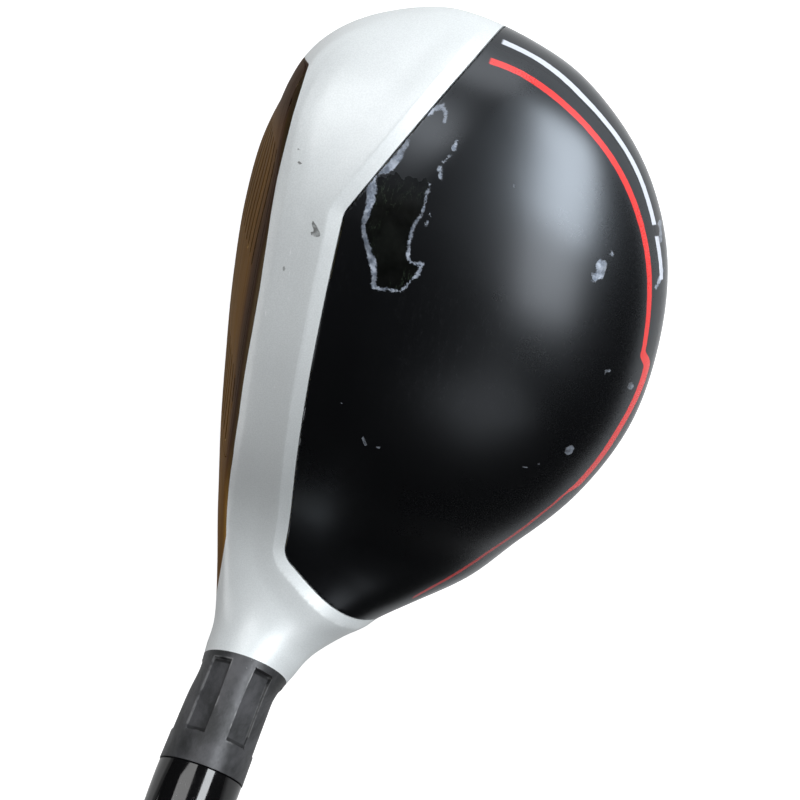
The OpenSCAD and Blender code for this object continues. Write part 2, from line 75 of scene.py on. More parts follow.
NECK = PIVOT_Y / TOE
ROWS = np.array([
    [TOE, 0, 0, *(TOE_BACK, TOE_HEIGHT) * 3, 0, TOE_HEIGHT, 1],
    head_row(0.971, 0, 0.068, 0.33, 0.1, 0.65, 0.46, 0.49, 0.1, 0.3, 0.9),
    head_row(0.914, 0, 0.432, 0.245, 0.3, 0.79, 0.653, 0.503, 0.16, 0.2, 0.5),
    head_row(0.828, 0, 0.727, 0.163, 0.68, 0.897, 0.816, 0.516, 0.18, 0.13, 0.2),
    head_row(0.713, 0, 0.909, 0.122, 0.92, 0.965, 0.935, 0.53, 0.2, 0.07, 0),
    head_row(0.575, 0, 0.99, 0.109, 1, 1, 0.994, 0.543, 0.2, 0.02, 0),
    head_row(0.425, 0, 0.995, 0.109, 1, 1, 0.998, 0.557, 0.18, 0, 0),
    head_row(0.276, 0, 0.95, 0.136, 0.99, 0.946, 0.924, 0.57, 0.15, 0.02, 0),
    head_row(0.167, 0.067, 0.882, 0.177, 0.98, 0.87, 0.798, 0.584, 0.1, 0.05, 0.1),
    head_row(NECK, 0.336, 0.705, 0.217, 0.76, 0.788, 0.663, 0.516, 0.05, 0.095, 0.3),
    head_row(NECK, 0.64, 0.49, 0.245, 0.4, 0.707, 0.422, 0.462, 0, 0.15, 0.65),
    head_row(NECK, 0.874, 0.35, 0.245, 0.1, 0.647, 0.235, 0.424, 0, 0.19, 0.95),
    hosel_row(0.5, 1.015, 1.243, 1.1, 1.1),
    hosel_row(5, 0.95, 1.03, 1.04, 1.04),
    hosel_row(10, 1, 1, 1, 1),
    hosel_row(HOSEL_TOP - PIVOT_RUN, 1, 1, 1, 1),
])
LAST = len(ROWS) - 1
# one row beyond each end; the toe's turns back, so that the skin meets the end squarely
beyond_toe = 2 * ROWS[0] - ROWS[1]
beyond_toe[0] = ROWS[1][0]
EXTENDED = np.vstack([beyond_toe, ROWS, 2 * ROWS[-1] - ROWS[-2]])


def rows_at(u):
    """The section at u, on a smooth curve through the rows."""
    i = np.clip(np.floor(u).astype(int), 0, LAST - 1)
    t = (u - i)[..., None]
    p0, p1, p2, p3 = (EXTENDED[i + k] for k in range(4))
    return 0.5 * (2 * p1 + (p2 - p0) * t + (2 * p0 - 5 * p1 + 4 * p2 - p3) * t ** 2
                  + (3 * p1 - p0 - 3 * p2 + p3) * t ** 3)


def bezier(a, b, c, d, t):
    return (1 - t) ** 3 * a + 3 * (1 - t) ** 2 * t * b + 3 * (1 - t) * t * t * c + t ** 3 * d


def pair(a, b):
    return np.stack([a, b], -1)


def fanned(r, height):
    """y and z of a height in the section r, which stands at its own angle and run from the pivot."""
    drop = PIVOT_Z - height
    y, angle, run = r[..., 0], r[..., 1], r[..., 2]
    return y - drop * np.sin(angle) - run * np.cos(angle), PIVOT_Z - drop * np.cos(angle) + run * np.sin(angle)


def surf(u, v):
    """Point of the head's skin, in mm.

    v runs 0-1 up the face, 1-2 over the crown, 2-3 down the skirt and 3-4 along the sole.
    """
    u, v = np.broadcast_arrays(np.asarray(u, float), np.asarray(v, float))
    r = rows_at(u)
    low, top, rear, blend = r[..., 3:5], r[..., 5:7], r[..., 7:9], r[..., 11:12]
    low_x, low_z, top_x, top_z, rear_x, rear_z, rise, sole = np.moveaxis(r[..., 3:11], -1, 0)
    bottom_x = low_x + SOLE_TURN * (rear_x - low_x)
    bottom = pair(bottom_x, sole)
    deep = rear_x - top_x
    up = top - low
    length = np.maximum(np.linalg.norm(up, axis=-1), 1e-6)
    out = pair(-up[..., 1], up[..., 0]) / length[..., None]
    one, zero = np.ones_like(rise), np.zeros_like(rise)
    crown = (top, top + CROWN_REACH * deep[..., None] * pair(one, rise),
             rear + pair(zero, CROWN_DROP * (top_z - rear_z) + CROWN_RISE * deep * np.maximum(rise, 0)), rear)
    skirt = (rear, rear - pair(zero, SKIRT_DROP * (rear_z - sole)),
             bottom + pair(SKIRT_REACH * (rear_x - bottom_x), zero), bottom)
    under = (bottom, bottom - pair(SOLE_REACH * (bottom_x - low_x), zero),
             low + pair(LEAD_REACH * (bottom_x - low_x), -LEAD_DROP * (low_z - sole)), low)

    def face(t):
        t = t[..., None]
        return low + up * t + out * (t * (1 - t)) * (length ** 2 / (2 * ROLL_R))[..., None]

    def curve(handles, t):
        return bezier(*handles, t[..., None])

    def rounded(head, s, start, corner, end):
        """The section with a corner replaced by a curve, where s runs 0-1."""
        t = s[..., None]
        arc = (1 - t) ** 2 * start + 2 * (s * (1 - s))[..., None] * corner + t ** 2 * end
        return np.where(((s > 0) & (s < 1))[..., None], arc, head)

    v = np.mod(v, 4.0)
    piece, t = np.floor(v), v - np.floor(v)
    head = np.select([(piece == k)[..., None] for k in range(3)],
                     [face(t), curve(crown, t), curve(skirt, t)], curve(under, t))
    a = np.minimum(TOP_EDGE_R / length, 0.3)
    b = np.minimum(TOP_EDGE_R / np.maximum(3 * CROWN_REACH * deep * np.sqrt(1 + rise ** 2), 1e-6), 0.3)
    head = rounded(head, (v - (1 - a)) / (a + b), face(1 - a), top, curve(crown, b))
    reach = 3 * np.hypot(LEAD_REACH * (bottom_x - low_x), LEAD_DROP * (low_z - sole))
    a = np.minimum(LEAD_EDGE_R / np.maximum(reach, 1e-6), 0.45)
    b = np.minimum(LEAD_EDGE_R / length, 0.3)
    head = rounded(head, (np.where(v < 2, v + 4, v) - (4 - a)) / (a + b), curve(under, 1 - a), low, face(b))

    # the ellipse that a section blends into: its leading edge is at 215 degrees, its top line at 140,
    # its rear at 0 and its bottom at -90
    angle = np.select([piece == k for k in range(3)], [215 - 75 * t, 140 * (1 - t), -90 * t], -90 - 55 * t)
    angle = np.radians(angle)
    centre = pair((low_x + rear_x) / 2, (top_z + sole) / 2)
    radii = pair((rear_x - low_x) / 2, (top_z - sole) / 2)
    p = (1 - blend) * head + blend * (centre + radii * pair(np.cos(angle), np.sin(angle)))
    y, z = fanned(r, p[..., 1])
    return np.stack([p[..., 0], y, z], -1)


def normal(u, v, step=2e-3):
    """Unit normal of the head's skin, inward or outward alike all over it."""
    u = np.clip(u, 0.03, LAST)
    du = surf(np.minimum(u + step, LAST), v) - surf(u - step, v)
    dv = surf(u, v + step) - surf(u, v - step)
    n = np.cross(du, dv)
    return n / np.maximum(np.linalg.norm(n, axis=-1), 1e-12)[..., None]


# ------------ meshes with lines cut where a form changes
class Sheet:
    """Triangles with a place (u, v) on the head for each corner."""

    def __init__(self, uv, tris):
        self.uv, self.tris = uv, tris

    u = property(lambda self: self.uv[:, 0])
    v = property(lambda self: self.uv[:, 1])

    def cut(self, field, level):
        """Adds an edge all along field == level: each triangle that it crosses becomes three."""
        f = field(self) - level
        f = np.where(np.abs(f) < 1e-7, 1e-7, f)
        tris = self.tris
        sign = f[tris] > 0
        crossing = sign.any(1) & ~sign.all(1)
        keep, todo = tris[~crossing], tris[crossing]
        if len(todo) == 0:
            return
        s = f[todo] > 0
        lone = np.where(s.sum(1) == 1, s.argmax(1), (~s).argmax(1))
        k = np.arange(len(todo))
        a, b, c = todo[k, lone], todo[k, (lone + 1) % 3], todo[k, (lone + 2) % 3]
        edges = np.sort(np.vstack([np.stack([a, b], 1), np.stack([a, c], 1)]), axis=1)
        unique, where = np.unique(edges, axis=0, return_inverse=True)
        where = where.reshape(-1)
        t = f[unique[:, 0]] / (f[unique[:, 0]] - f[unique[:, 1]])
        # v wraps round at 4, and the toe's end, where u is 0, has no v of its own
        first, second = self.uv[unique[:, 0]].copy(), self.uv[unique[:, 1]].copy()
        first[:, 1] += 4 * (second[:, 1] - first[:, 1] > 2)
        second[:, 1] += 4 * (first[:, 1] - second[:, 1] > 2)
        first[:, 1] = np.where(first[:, 0] == 0, second[:, 1], first[:, 1])
        second[:, 1] = np.where(second[:, 0] == 0, first[:, 1], second[:, 1])
        new = first * (1 - t)[:, None] + second * t[:, None]
        new[:, 1] %= 4
        base = len(self.uv)
        ab, ac = base + where[:len(todo)], base + where[len(todo):]
        self.uv = np.vstack([self.uv, new])
        parts = [np.stack(corners, 1) for corners in ((a, ab, ac), (ab, b, c), (ab, c, ac))]
        self.tris = np.vstack([keep, *parts])

    def points(self):
        return surf(self.u, self.v)

    def normals(self):
        return normal(self.u, self.v)


def head_sheet(steps_u, v_values):
    """The whole skin as a grid closed round v, with one point for the toe's end."""
    spans = [np.linspace(i, i + 1, n, endpoint=False) for i, n in enumerate(steps_u)]
    us = np.concatenate(spans + [[LAST]])[1:]
    m = len(v_values)
    uv = [[0.0, 1.5]] + [[u, v] for u in us for v in v_values]
    tris = [[0, 1 + j, 1 + (j + 1) % m] for j in range(m)]
    start = 1 + np.arange(len(us) - 1)[:, None] * m
    a, b = start + np.arange(m)[None], start + (np.arange(m)[None] + 1) % m
    quads = np.stack([a, b, b + m, a + m], -1).reshape(-1, 4)
    tris = np.vstack([np.array(tris), quads[:, [0, 2, 1]], quads[:, [0, 3, 2]]])
    return Sheet(np.array(uv), tris)


def fillet(points, radius):
    """An open line through points with its inner corners rounded."""
    out = [np.array(points[0], float)]
    for p, q, r in zip(points[:-2], points[1:-1], points[2:]):
        p, q, r = (np.array(w, float) for w in (p, q, r))
        e, g = (p - q) / np.linalg.norm(p - q), (r - q) / np.linalg.norm(r - q)
        half = math.acos(np.clip(e @ g, -1, 1)) / 2
        d = radius / math.tan(half)
        c = q + (e + g) / np.linalg.norm(e + g) * radius / math.sin(half)
        t0, t1 = q + e * d - c, q + g * d - c
        a0, a1 = math.atan2(t0[1], t0[0]), math.atan2(t1[1], t1[0])
        a1 = a0 + (a1 - a0 + math.pi) % (2 * math.pi) - math.pi
        out += [c + radius * np.array([math.cos(w), math.sin(w)]) for w in np.linspace(a0, a1, 9)]
    return np.array(out + [np.array(points[-1], float)])


def from_segment(xy, a, b):
    """Distance from points to the segment a-b, and the share of it at which they are nearest."""
    ab = b - a
    t = np.clip(((xy - a) @ ab) / max(ab @ ab, 1e-9), 0, 1)
    return np.linalg.norm(xy - a - t[:, None] * ab, axis=1), t


def signed_distance(xy, line):
    """Distance from points to an open line, positive on its left."""
    best = np.full(len(xy), 1e9)
    sign = np.ones(len(xy))
    for a, b in zip(line[:-1], line[1:]):
        ab, (d, _) = b - a, from_segment(xy, a, b)
        cross = ab[0] * (xy[:, 1] - a[1]) - ab[1] * (xy[:, 0] - a[0])
        near = d < best - 1e-9
        best = np.where(near, d, best)
        sign = np.where(near, np.sign(cross), sign)
    return best * sign


def polygon_distance(xy, poly):
    """Distance to a closed outline, negative inside."""
    closed = np.vstack([poly, poly[:1]])
    d = np.abs(signed_distance(xy, closed))
    inside = np.zeros(len(xy), bool)
    for (x0, y0), (x1, y1) in zip(closed[:-1], closed[1:]):
        hit = (y0 > xy[:, 1]) != (y1 > xy[:, 1])
        x = x0 + (xy[:, 1] - y0) / (y1 - y0 if y1 != y0 else 1e-9) * (x1 - x0)
        inside ^= hit & (xy[:, 0] < x)
    return np.where(inside, -d, d)


def smooth(t):
    t = np.clip(t, 0, 1)
    return t * t * (3 - 2 * t)


# the crown panel's front edge seen from above: straight, with a bend back towards the toe and one at the heel
PANEL_FRONT, PANEL_TOE_BACK, PANEL_BEND_R = 1.9, 13, 3.5
PANEL_HEEL_Y, HEEL_BACK, HEEL_OUT = 0.2, 15.8, 10.5
BEYOND_TOE, BEYOND_BACK, BEYOND_HEEL = 13, 6.5, 12
PANEL_LINE = fillet([
    (PANEL_TOE_BACK + PANEL_FRONT + BEYOND_BACK, TOE + BEYOND_TOE),
    (PANEL_FRONT, 0.7 * TOE), (PANEL_FRONT, PANEL_HEEL_Y),
    (HEEL_BACK + PANEL_FRONT + BEYOND_HEEL, PANEL_HEEL_Y - HEEL_OUT - BEYOND_HEEL * HEEL_OUT / HEEL_BACK),
], PANEL_BEND_R)
# the black ends a little below the rear edge, at v = BLACK_END; a step of 1 in v is about MM_PER_V there
BLACK_END, MM_PER_V = 2.03, 30.0
# fields stop at FAR mm; the hosel's paint and its flutes are drawn only beyond these u
FAR, NEAR_HOSEL, ON_HOSEL = 20.0, 9.0, 11.5


def from_above(v):
    """True where the line of the panel's edge, drawn from above, counts."""
    return (v > 0.9) & (v < 2.6)


def front_distance(sheet):
    """Distance behind the panel's front edge, in mm; negative before it."""
    d = signed_distance(sheet.points()[:, :2], PANEL_LINE)
    return np.where(from_above(sheet.v) & (sheet.u > 0), d, -FAR)


def panel_field(sheet):
    """Distance inside the black crown's edge, in mm; negative outside it."""
    d = np.where(from_above(sheet.v), signed_distance(sheet.points()[:, :2], PANEL_LINE), -FAR)
    return np.clip(np.minimum(d, (BLACK_END - sheet.v) * MM_PER_V), -FAR, FAR)


def bare_field(sheet):
    """Distance outside the patch where the lacquer is gone, in mm."""
    x, y, _ = sheet.points().T
    wavy = 0.14 * np.sin(5.1 * x + 2.3 * y) + 0.1 * np.sin(9.7 * y - 6.3 * x)
    return np.where((sheet.v > 1) & (sheet.v < 1.6), polygon_distance(pair(x, y), BARE) + wavy, 9.0)


FLUTES, FLUTE_W, FLUTE_DEPTH, FLUTE_TURN = 6, 3.6, 0.55, math.radians(-9)
FLUTE_LOW, FLUTE_L = 42.0, 12.0
PAINT_END = 40.9


def flute_parts(p):
    """Each point's place in the lane of its flute: sideways, outward, along the axis; and the lane's angle."""
    s, across = p @ SHAFT, p @ SIDE
    angle, r = np.arctan2(across, p[:, 0]), np.hypot(p[:, 0], across)
    pitch = 2 * math.pi / FLUTES
    local = (angle - FLUTE_TURN + pitch / 2) % pitch - pitch / 2
    return r * np.sin(local), r * np.cos(local), s, angle - local


def flute_field(sheet):
    """Distance outside the flutes, in mm; negative in them."""
    side, _, s, _ = flute_parts(sheet.points())
    d = np.maximum(np.abs(side) - FLUTE_W / 2, np.abs(s - FLUTE_LOW - FLUTE_L / 2) - FLUTE_L / 2)
    return np.where(sheet.u > ON_HOSEL, d, 9.0)


def paint_field(sheet):
    """Distance past the silver's end along the hosel, in mm."""
    return np.where(sheet.u > NEAR_HOSEL, sheet.points() @ SHAFT - PAINT_END, -9.0)


FACE_RIM, FACE_CORNER_R, MIDDLE_Y = 2.4, 3.0, 0.45 * TOE
SCORE_LINES, SCORE_PITCH, SCORE_DROP, SCORE_MARGIN = 7, 3.2, 5.8, 2.0
SCORE_W, SCORE_DEPTH, SCORE_L, SCORE_CLEAR = 0.8, 0.35, 17.0, 18.0
SLOT_X, SLOT_L, SLOT_W, GAP = 13 - LEAD, 60.0, 4.5, 0.1


def face_outline():
    """The face plate's outline seen from the front, with rounded corners."""
    r = rows_at(np.arange(2.5, 7.84, 1 / 3))
    low, top = (pair(*fanned(r, r[:, k])) + [0, rim] for k, rim in ((4, FACE_RIM), (6, -FACE_RIM)))
    heel = fillet([low[-2], low[-1], top[-1], top[-2]], FACE_CORNER_R)
    toe = fillet([top[1], top[0], low[0], low[1]], FACE_CORNER_R)
    return np.vstack([low[2:-2], heel, top[-3:1:-1], toe])


FACE_OUTLINE = face_outline()


def plate_field(sheet):
    """Distance outside the face plate's outline, in mm; negative on the plate."""
    d = np.full(len(sheet.uv), FAR)
    near = (sheet.v < 1) & (sheet.u > 1.5) & (sheet.u < NEAR_HOSEL)
    d[near] = polygon_distance(sheet.points()[near][:, 1:], FACE_OUTLINE)
    return d


def score_field(sheet):
    """Distance outside the score lines, in mm; negative in them."""
    p = sheet.points()
    side = np.abs(np.abs(p[:, 1] - MIDDLE_Y) - (SCORE_CLEAR + SCORE_L) / 2) - SCORE_L / 2
    level = (p[:, 2] - (TOP_H - SCORE_DROP - SCORE_W / 2)) / SCORE_PITCH
    nearest = np.clip(np.round(level), 1 - SCORE_LINES, 0)
    across = np.abs(level - nearest) * SCORE_PITCH - SCORE_W / 2
    return np.maximum(np.maximum(side, across), plate_field(sheet) + SCORE_MARGIN)


def slot_field(sheet):
    """Distance outside the slot through the sole, in mm."""
    p = sheet.points()
    along = np.maximum(np.abs(p[:, 1] - MIDDLE_Y) - (SLOT_L - SLOT_W) / 2, 0)
    d = np.hypot(p[:, 0] - SLOT_X, along) - SLOT_W / 2
    return np.where((sheet.v > 2.6) & (sheet.u < 9.5), np.minimum(d, FAR), FAR)


# the paint's edge along the top line: its x at some y from heel to toe; then where the bare face ends
FINISH_Y = [0, 8, 19, 26, 31, 45, 54, 58, 62]
FINISH_X = [-8.4, -8.7, -8.5, -8.1, -8, -7.6, -7.9, -8.1, -8.25]
FINISH_HEEL, FINISH_TOE, FINISH_TOE_R, FINISH_TOE_Z = -16, 56, 20.5, 26
# its upper and lower edges as shares of the face's height, and how far they come together at the heel
FINISH_HIGH, HIGH_DROP, FINISH_LOW, LOW_RISE = 0.992, 0.2, 0.03, 0.55


def finish_field(sheet):
    """Distance inside the bare, brushed face, in mm; negative on paint."""
    (x, y, z), (u, v) = sheet.points().T, sheet.uv.T
    top = (FINISH_HIGH - HIGH_DROP * smooth((-4 - y) / 14) - v) * TOP_H
    top = np.minimum(top, np.interp(y, FINISH_Y, FINISH_X) - x)
    low = (v - FINISH_LOW - LOW_RISE * smooth((2 - y) / 16)) * TOP_H
    toe = np.where(y > FINISH_TOE, FINISH_TOE_R - np.hypot(y - FINISH_TOE, 0.6 * (z - FINISH_TOE_Z)), 9)
    inside = np.minimum(np.minimum(top, toe), np.minimum(low, y - FINISH_HEEL))
    return np.where((v < 1) & (u > 0.3) & (u < 11.6), inside, -9)


# ------------ marks of wear, seen from above, in mm
# the patch where the lacquer is gone: its outline
BARE = np.array([
    (5.2, 66.2), (6.4, 66.6), (7.3, 67.4), (8.4, 66.8), (9.3, 67.5), (10.4, 67.0), (11.2, 67.6), (11.8, 67.1),
    (11.9, 64.2), (11.3, 61.5), (11.4, 58.2), (12.3, 57), (13.6, 57.3), (12.7, 54.4), (11.7, 53.1), (8.4, 52.6),
    (7.6, 55.5), (5.0, 59.8), (5.2, 62.4), (5.0, 65)])
# the rest are lines of (x, y, half width): flakes and specks of primer, marks and scratches on the silver
FLAKES = [
    [(9.2, 75, 0.3), (9.8, 75.8, 0.45), (10.7, 76.2, 0.4), (11.4, 75.6, 0.25), (11.5, 74.5, 0.2)],
    [(7.7, 71.4, 0.3), (7, 69.1, 0.5), (6.4, 67.9, 0.6), (5.4, 67.1, 0.5)],
    [(4.6, 66.2, 0.4), (4.7, 65, 0.65), (5, 63.6, 0.55), (5, 61.1, 0.35), (4.9, 59.8, 0.3), (5.5, 58.6, 0.3),
     (6.3, 57.2, 0.35), (7.3, 55.8, 0.45), (7.9, 54.2, 0.3), (8.2, 52.5, 0.3), (10, 52.7, 0.25), (11.7, 53, 0.15),
     (13.4, 55.8, 0.2), (13.7, 57.3, 0.2), (12.4, 56.9, 0.12), (11.5, 57.7, 0.3), (11.2, 60.8, 0.15),
     (11.4, 62.2, 0.2), (11.9, 63.2, 0.2), (12, 64.4, 0.12), (11.8, 65.7, 0.15), (11.9, 67.1, 0.15)],
    [(12.5, 69.2, 0.3), (13, 68.1, 0.25)], [(12.8, 69.9, 0.05), (13.5, 70.9, 0.05)],
    [(13.6, 71.9, 0.35), (13.7, 72.7, 0.12)], [(12.9, 62.2, 0.25), (12.9, 62.6, 0.08)],
    [(12.9, 63.4, 0.12), (12.9, 63.6, 0.08)], [(36.1, 61.7, 0.75), (36.4, 60.2, 0.4)],
    [(35.4, 60.7, 0.2), (35.8, 59.9, 0.4)], [(36.9, 63.6, 0.15), (37, 63.2, 0.25)],
    [(45, 61.6, 0.15), (45.1, 60.5, 0.35), (44.7, 59.4, 0.25)],
]
SPOTS = [
    [(11.1, 30, 0.15), (11.8, 28.6, 0.2), (12.7, 28.1, 0.2), (13.7, 28.6, 0.2), (14.2, 29.3, 0.1)],
    [(40.3, 34.5, 0.6), (40.3, 33.9, 0.6)], [(34.7, 30.2, 0.25), (35.1, 30.5, 0.2)],
    [(36.3, 31, 0.1), (36.9, 31.2, 0.15), (37, 31.7, 0.1)], [(45.8, 45.2, 0.45), (46.2, 44.6, 0.3)],
    [(45.9, 43.4, 0.1), (46.3, 42.5, 0.15)], [(41.4, 47.2, 0.35), (42, 47.6, 0.2)],
    [(25.3, 2.3, 0.2), (25.8, 2.3, 0.15)], [(7.1, 34.8, 0.12), (7.3, 34.4, 0.12)],
    [(22.2, 69.4, 0.12), (22.3, 69.1, 0.12)], [(42.6, 67.4, 0.3), (43, 66.6, 0.15), (43.4, 65.2, 0.3)],
]
MARKS = [
    [(-1.9, 58.8, 0.15), (-1.3, 58.1, 0.3), (-0.7, 57.3, 0.4), (-1.4, 57.1, 0.3)],
    [(-6.1, 66.8, 0.15), (-5.8, 66.8, 0.15)], [(-5.6, 65.2, 0.2), (-5.2, 65.3, 0.2)],
    [(-4.4, 51.5, 0.2), (-4.3, 51, 0.2)],
]
SCRATCHES = [
    [(-4.2, 55.4, 0.06), (-3, 47.3, 0.06)], [(-6.3, 47, 0.05), (-5.8, 43, 0.05)],
    [(-3.4, 38, 0.05), (-2.2, 31, 0.05)],
]


def line_distance(xy, lines):
    """Distance outside the nearest of some lines of (x, y, half width), in mm."""
    best = np.full(len(xy), 9.0)
    for line in lines:
        for a, b in zip(np.array(line[:-1], float), np.array(line[1:], float)):
            d, t = from_segment(xy, a[:2], b[:2])
            best = np.minimum(best, d - (a[2] + t * (b[2] - a[2])))
    return best


# ------------ small helpers
def in_scene(name, data):
    obj = bpy.data.objects.new(name, data)
    bpy.context.scene.collection.objects.link(obj)
    return obj


def new_object(name, verts, faces, materials, slots=None, attributes=None, sharp=35):
    """A smooth mesh from mm, with edges sharper than so many degrees left sharp."""
    mesh = bpy.data.meshes.new(name)
    mesh.from_pydata((np.asarray(verts) * MM).tolist(), [], [list(map(int, f)) for f in faces])
    for m in materials:
        mesh.materials.append(m)
    if slots is not None:
        mesh.polygons.foreach_set("material_index", np.asarray(slots, np.int32))
    for key, values in (attributes or {}).items():
        mesh.attributes.new(key, "FLOAT", "POINT").data.foreach_set("value", np.asarray(values, np.float32))
    mesh.polygons.foreach_set("use_smooth", np.ones(len(faces), bool))
    mesh.update()
    mesh.set_sharp_from_angle(angle=math.radians(sharp))
    return in_scene(name, mesh)


def place_piece(obj, node):
    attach(obj, "root")
    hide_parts(node)


def solid_from(points, inner, tris):
    """Closes a patch of skin into a solid with an inner surface and a wall; the outer faces come first."""
    used = np.unique(tris)
    index = np.full(len(points), -1)
    index[used] = np.arange(len(used))
    t = index[tris]
    n = len(used)
    edges = np.vstack([t[:, [0, 1]], t[:, [1, 2]], t[:, [2, 0]]])
    _, inverse, count = np.unique(np.sort(edges, axis=1), axis=0, return_inverse=True, return_counts=True)
    p, q = edges[count[inverse.reshape(-1)] == 1].T
    walls = np.vstack([np.stack([q, p, p + n], 1), np.stack([q, p + n, q + n], 1)])
    return np.vstack([points[used], inner[used]]), np.vstack([t, t[:, ::-1] + n, walls]), used


def put(tree, value, socket):
    """Links an output to the socket, or sets the socket's value."""
    if isinstance(value, bpy.types.NodeSocket):
        tree.links.new(value, socket)
    elif isinstance(value, tuple) and len(value) < len(socket.default_value):
        socket.default_value = (*value, 1)
    else:
        socket.default_value = value


def make(tree, kind, inputs, out=0, **props):
    """An output of a new node; inputs holds what goes into its sockets, by their name or number."""
    node = tree.nodes.new("ShaderNode" + kind)
    for key, value in props.items():
        setattr(node, key, value)
    for key, value in inputs.items():
        put(tree, value, node.inputs[key])
    return node.outputs[out]


class Nodes:
    """Short calls for a material's nodes."""

    def __init__(self, name, **sockets):
        self.material = bpy.data.materials.new(name)
        self.material.use_nodes = True
        self.tree = self.material.node_tree
        self.shader = self.tree.nodes["Principled BSDF"]
        for key, value in sockets.items():
            self.shader.inputs[key.replace("_", " ")].default_value = value
        self.place = self.make("TexCoord", {}, "Object")
        metres = (self.make("SeparateXYZ", {0: self.place}, k) for k in range(3))
        self.x, self.y, self.z = (self.times(m, 1000) for m in metres)
        self.base = None

    def make(self, *args, **props):
        return make(self.tree, *args, **props)

    def math(self, operation, a, b=0.0):
        return self.make("Math", {0: a, 1: b}, operation=operation)

    times, plus = partialmethod(math, "MULTIPLY"), partialmethod(math, "ADD")
    minus, high = partialmethod(math, "SUBTRACT"), partialmethod(math, "MAXIMUM")

    def step(self, value, start, end, to_low=0.0, to_high=1.0):
        """Runs smoothly from to_low at start to to_high at end."""
        inputs = dict(enumerate((value, start, end, to_low, to_high)))
        return self.make("MapRange", inputs, interpolation_type="SMOOTHSTEP")

    def near(self, value, target, out, full):
        """1 where value is within full of target and 0 beyond out, or the other way round if out is less."""
        return self.step(self.math("ABSOLUTE", self.minus(value, target)), out, full)

    def mix(self, factor, a, b):
        """Colour a, with b over it where factor is 1."""
        return self.make("Mix", {0: factor, 6: a, 7: b}, 2, data_type="RGBA")

    def start(self, factor, dark, light):
        """Makes the base a mix of two colours, each as it looks on screen."""
        self.base = self.mix(factor, rgb(*dark), rgb(*light))

    def paint(self, cover, *colour, share=1):
        """Puts a colour over the base where cover is 1, or so much of it."""
        self.base = self.mix(cover if share == 1 else self.times(cover, share), self.base, rgb(*colour))

    def blend(self, factor, a, b):
        """Number a, with b in its place where factor is 1."""
        return self.make("Mix", {0: factor, 2: a, 3: b}, data_type="FLOAT")

    def vector(self, scale, turn=(0, 0, 0)):
        return self.make("Mapping", {0: self.place, "Rotation": turn, "Scale": scale})

    def noise(self, scale, detail=2.0, rough=0.5, source=None):
        return self.make("TexNoise", {
            "Vector": source or self.place, "Scale": scale, "Detail": detail, "Roughness": rough})

    def patches(self, scale, detail, start, end, *levels, rough=0.5):
        """Noise that runs between two levels, 0 and 1 unless given, as it rises from start to end."""
        return self.step(self.noise(scale, detail, rough), start, end, *levels)

    def ragged(self, value, amount, scale, detail, rough=0.6):
        """The value with noise of so much added, so that an edge drawn with it is uneven."""
        return self.plus(value, self.times(self.minus(self.noise(scale, detail, rough), 0.5), amount))

    def hairs(self, scale, detail, rough, stretch, turn, width, where):
        """Thin lines along the noise's middle level, kept where the coarser noise `where` is high."""
        line = self.near(self.noise(scale, detail, rough, self.vector(stretch, turn)), 0.5, width, 0)
        return self.times(line, self.patches(*where))

    def spots(self, scale):
        return self.make("TexVoronoi", {"Vector": self.place, "Scale": scale}, "Distance")

    def attribute(self, name):
        return self.make("Attribute", {}, "Fac", attribute_name=name)

    def finish(self, roughness, *bumps):
        """The material with its base, its roughness and its bumps, each (height, depth in m, strength)."""
        put(self.tree, self.base, self.shader.inputs["Base Color"])
        put(self.tree, roughness, self.shader.inputs["Roughness"])
        below = {}
        for height, depth, strength in bumps:
            normal_out = self.make("Bump", {"Height": height, "Distance": depth, "Strength": strength, **below})
            below = {"Normal": normal_out}
            put(self.tree, normal_out, self.shader.inputs["Normal"])
        return self.material


def rgb(r, g, b):
    """A colour written as it looks on screen, 0-255."""
    return tuple((c / 255 / 12.92) if c <= 10 else ((c / 255 + 0.055) / 1.055) ** 2.4 for c in (r, g, b))


# ------------ materials
# turns noise so that it runs along the shaft
ALONG_SHAFT = (0.53, 0, 0)


def silver_paint():
    m = Nodes("silver_paint", Metallic=0.2, Coat_Weight=0.15, Coat_Roughness=0.15)
    flakes = m.noise(5200, 2, 0.6)
    m.start(m.step(flakes, 0.35, 0.65), (211, 215, 216), (220, 224, 225))
    m.paint(m.patches(60, 4, 0.4, 0.7, rough=0.55), 190, 192, 196, share=0.12)
    # fine dark specks and thin scratches
    m.paint(m.times(m.step(m.spots(210), 0.06, 0.03), m.patches(90, 1, 0.6, 0.68)), 120, 118, 112, share=0.7)
    hairs = m.hairs(260, 3, 0.7, (6, 0.35, 3), (0, 0, 0.18), 0.006, (45, 2, 0.5, 0.62))
    m.paint(hairs, 242, 242, 244, share=0.35)
    # the scratches and the marks with a place of their own
    scratch = m.times(m.step(m.attribute("scratch"), 0.06, 0), m.patches(300, 2, 0.4, 0.55))
    m.paint(scratch, 246, 247, 250, share=0.6)
    mark = m.step(m.ragged(m.attribute("mark"), 0.4, 1100, 4, 0.65), 0.04, -0.04)
    m.paint(m.times(mark, m.patches(1500, 2, 0.3, 0.6, 0.5, 0.85)), 84, 84, 82)
    return m.finish(m.patches(900, 3, 0.2, 0.8, 0.4, 0.5), (flakes, 0.000006, 0.15))


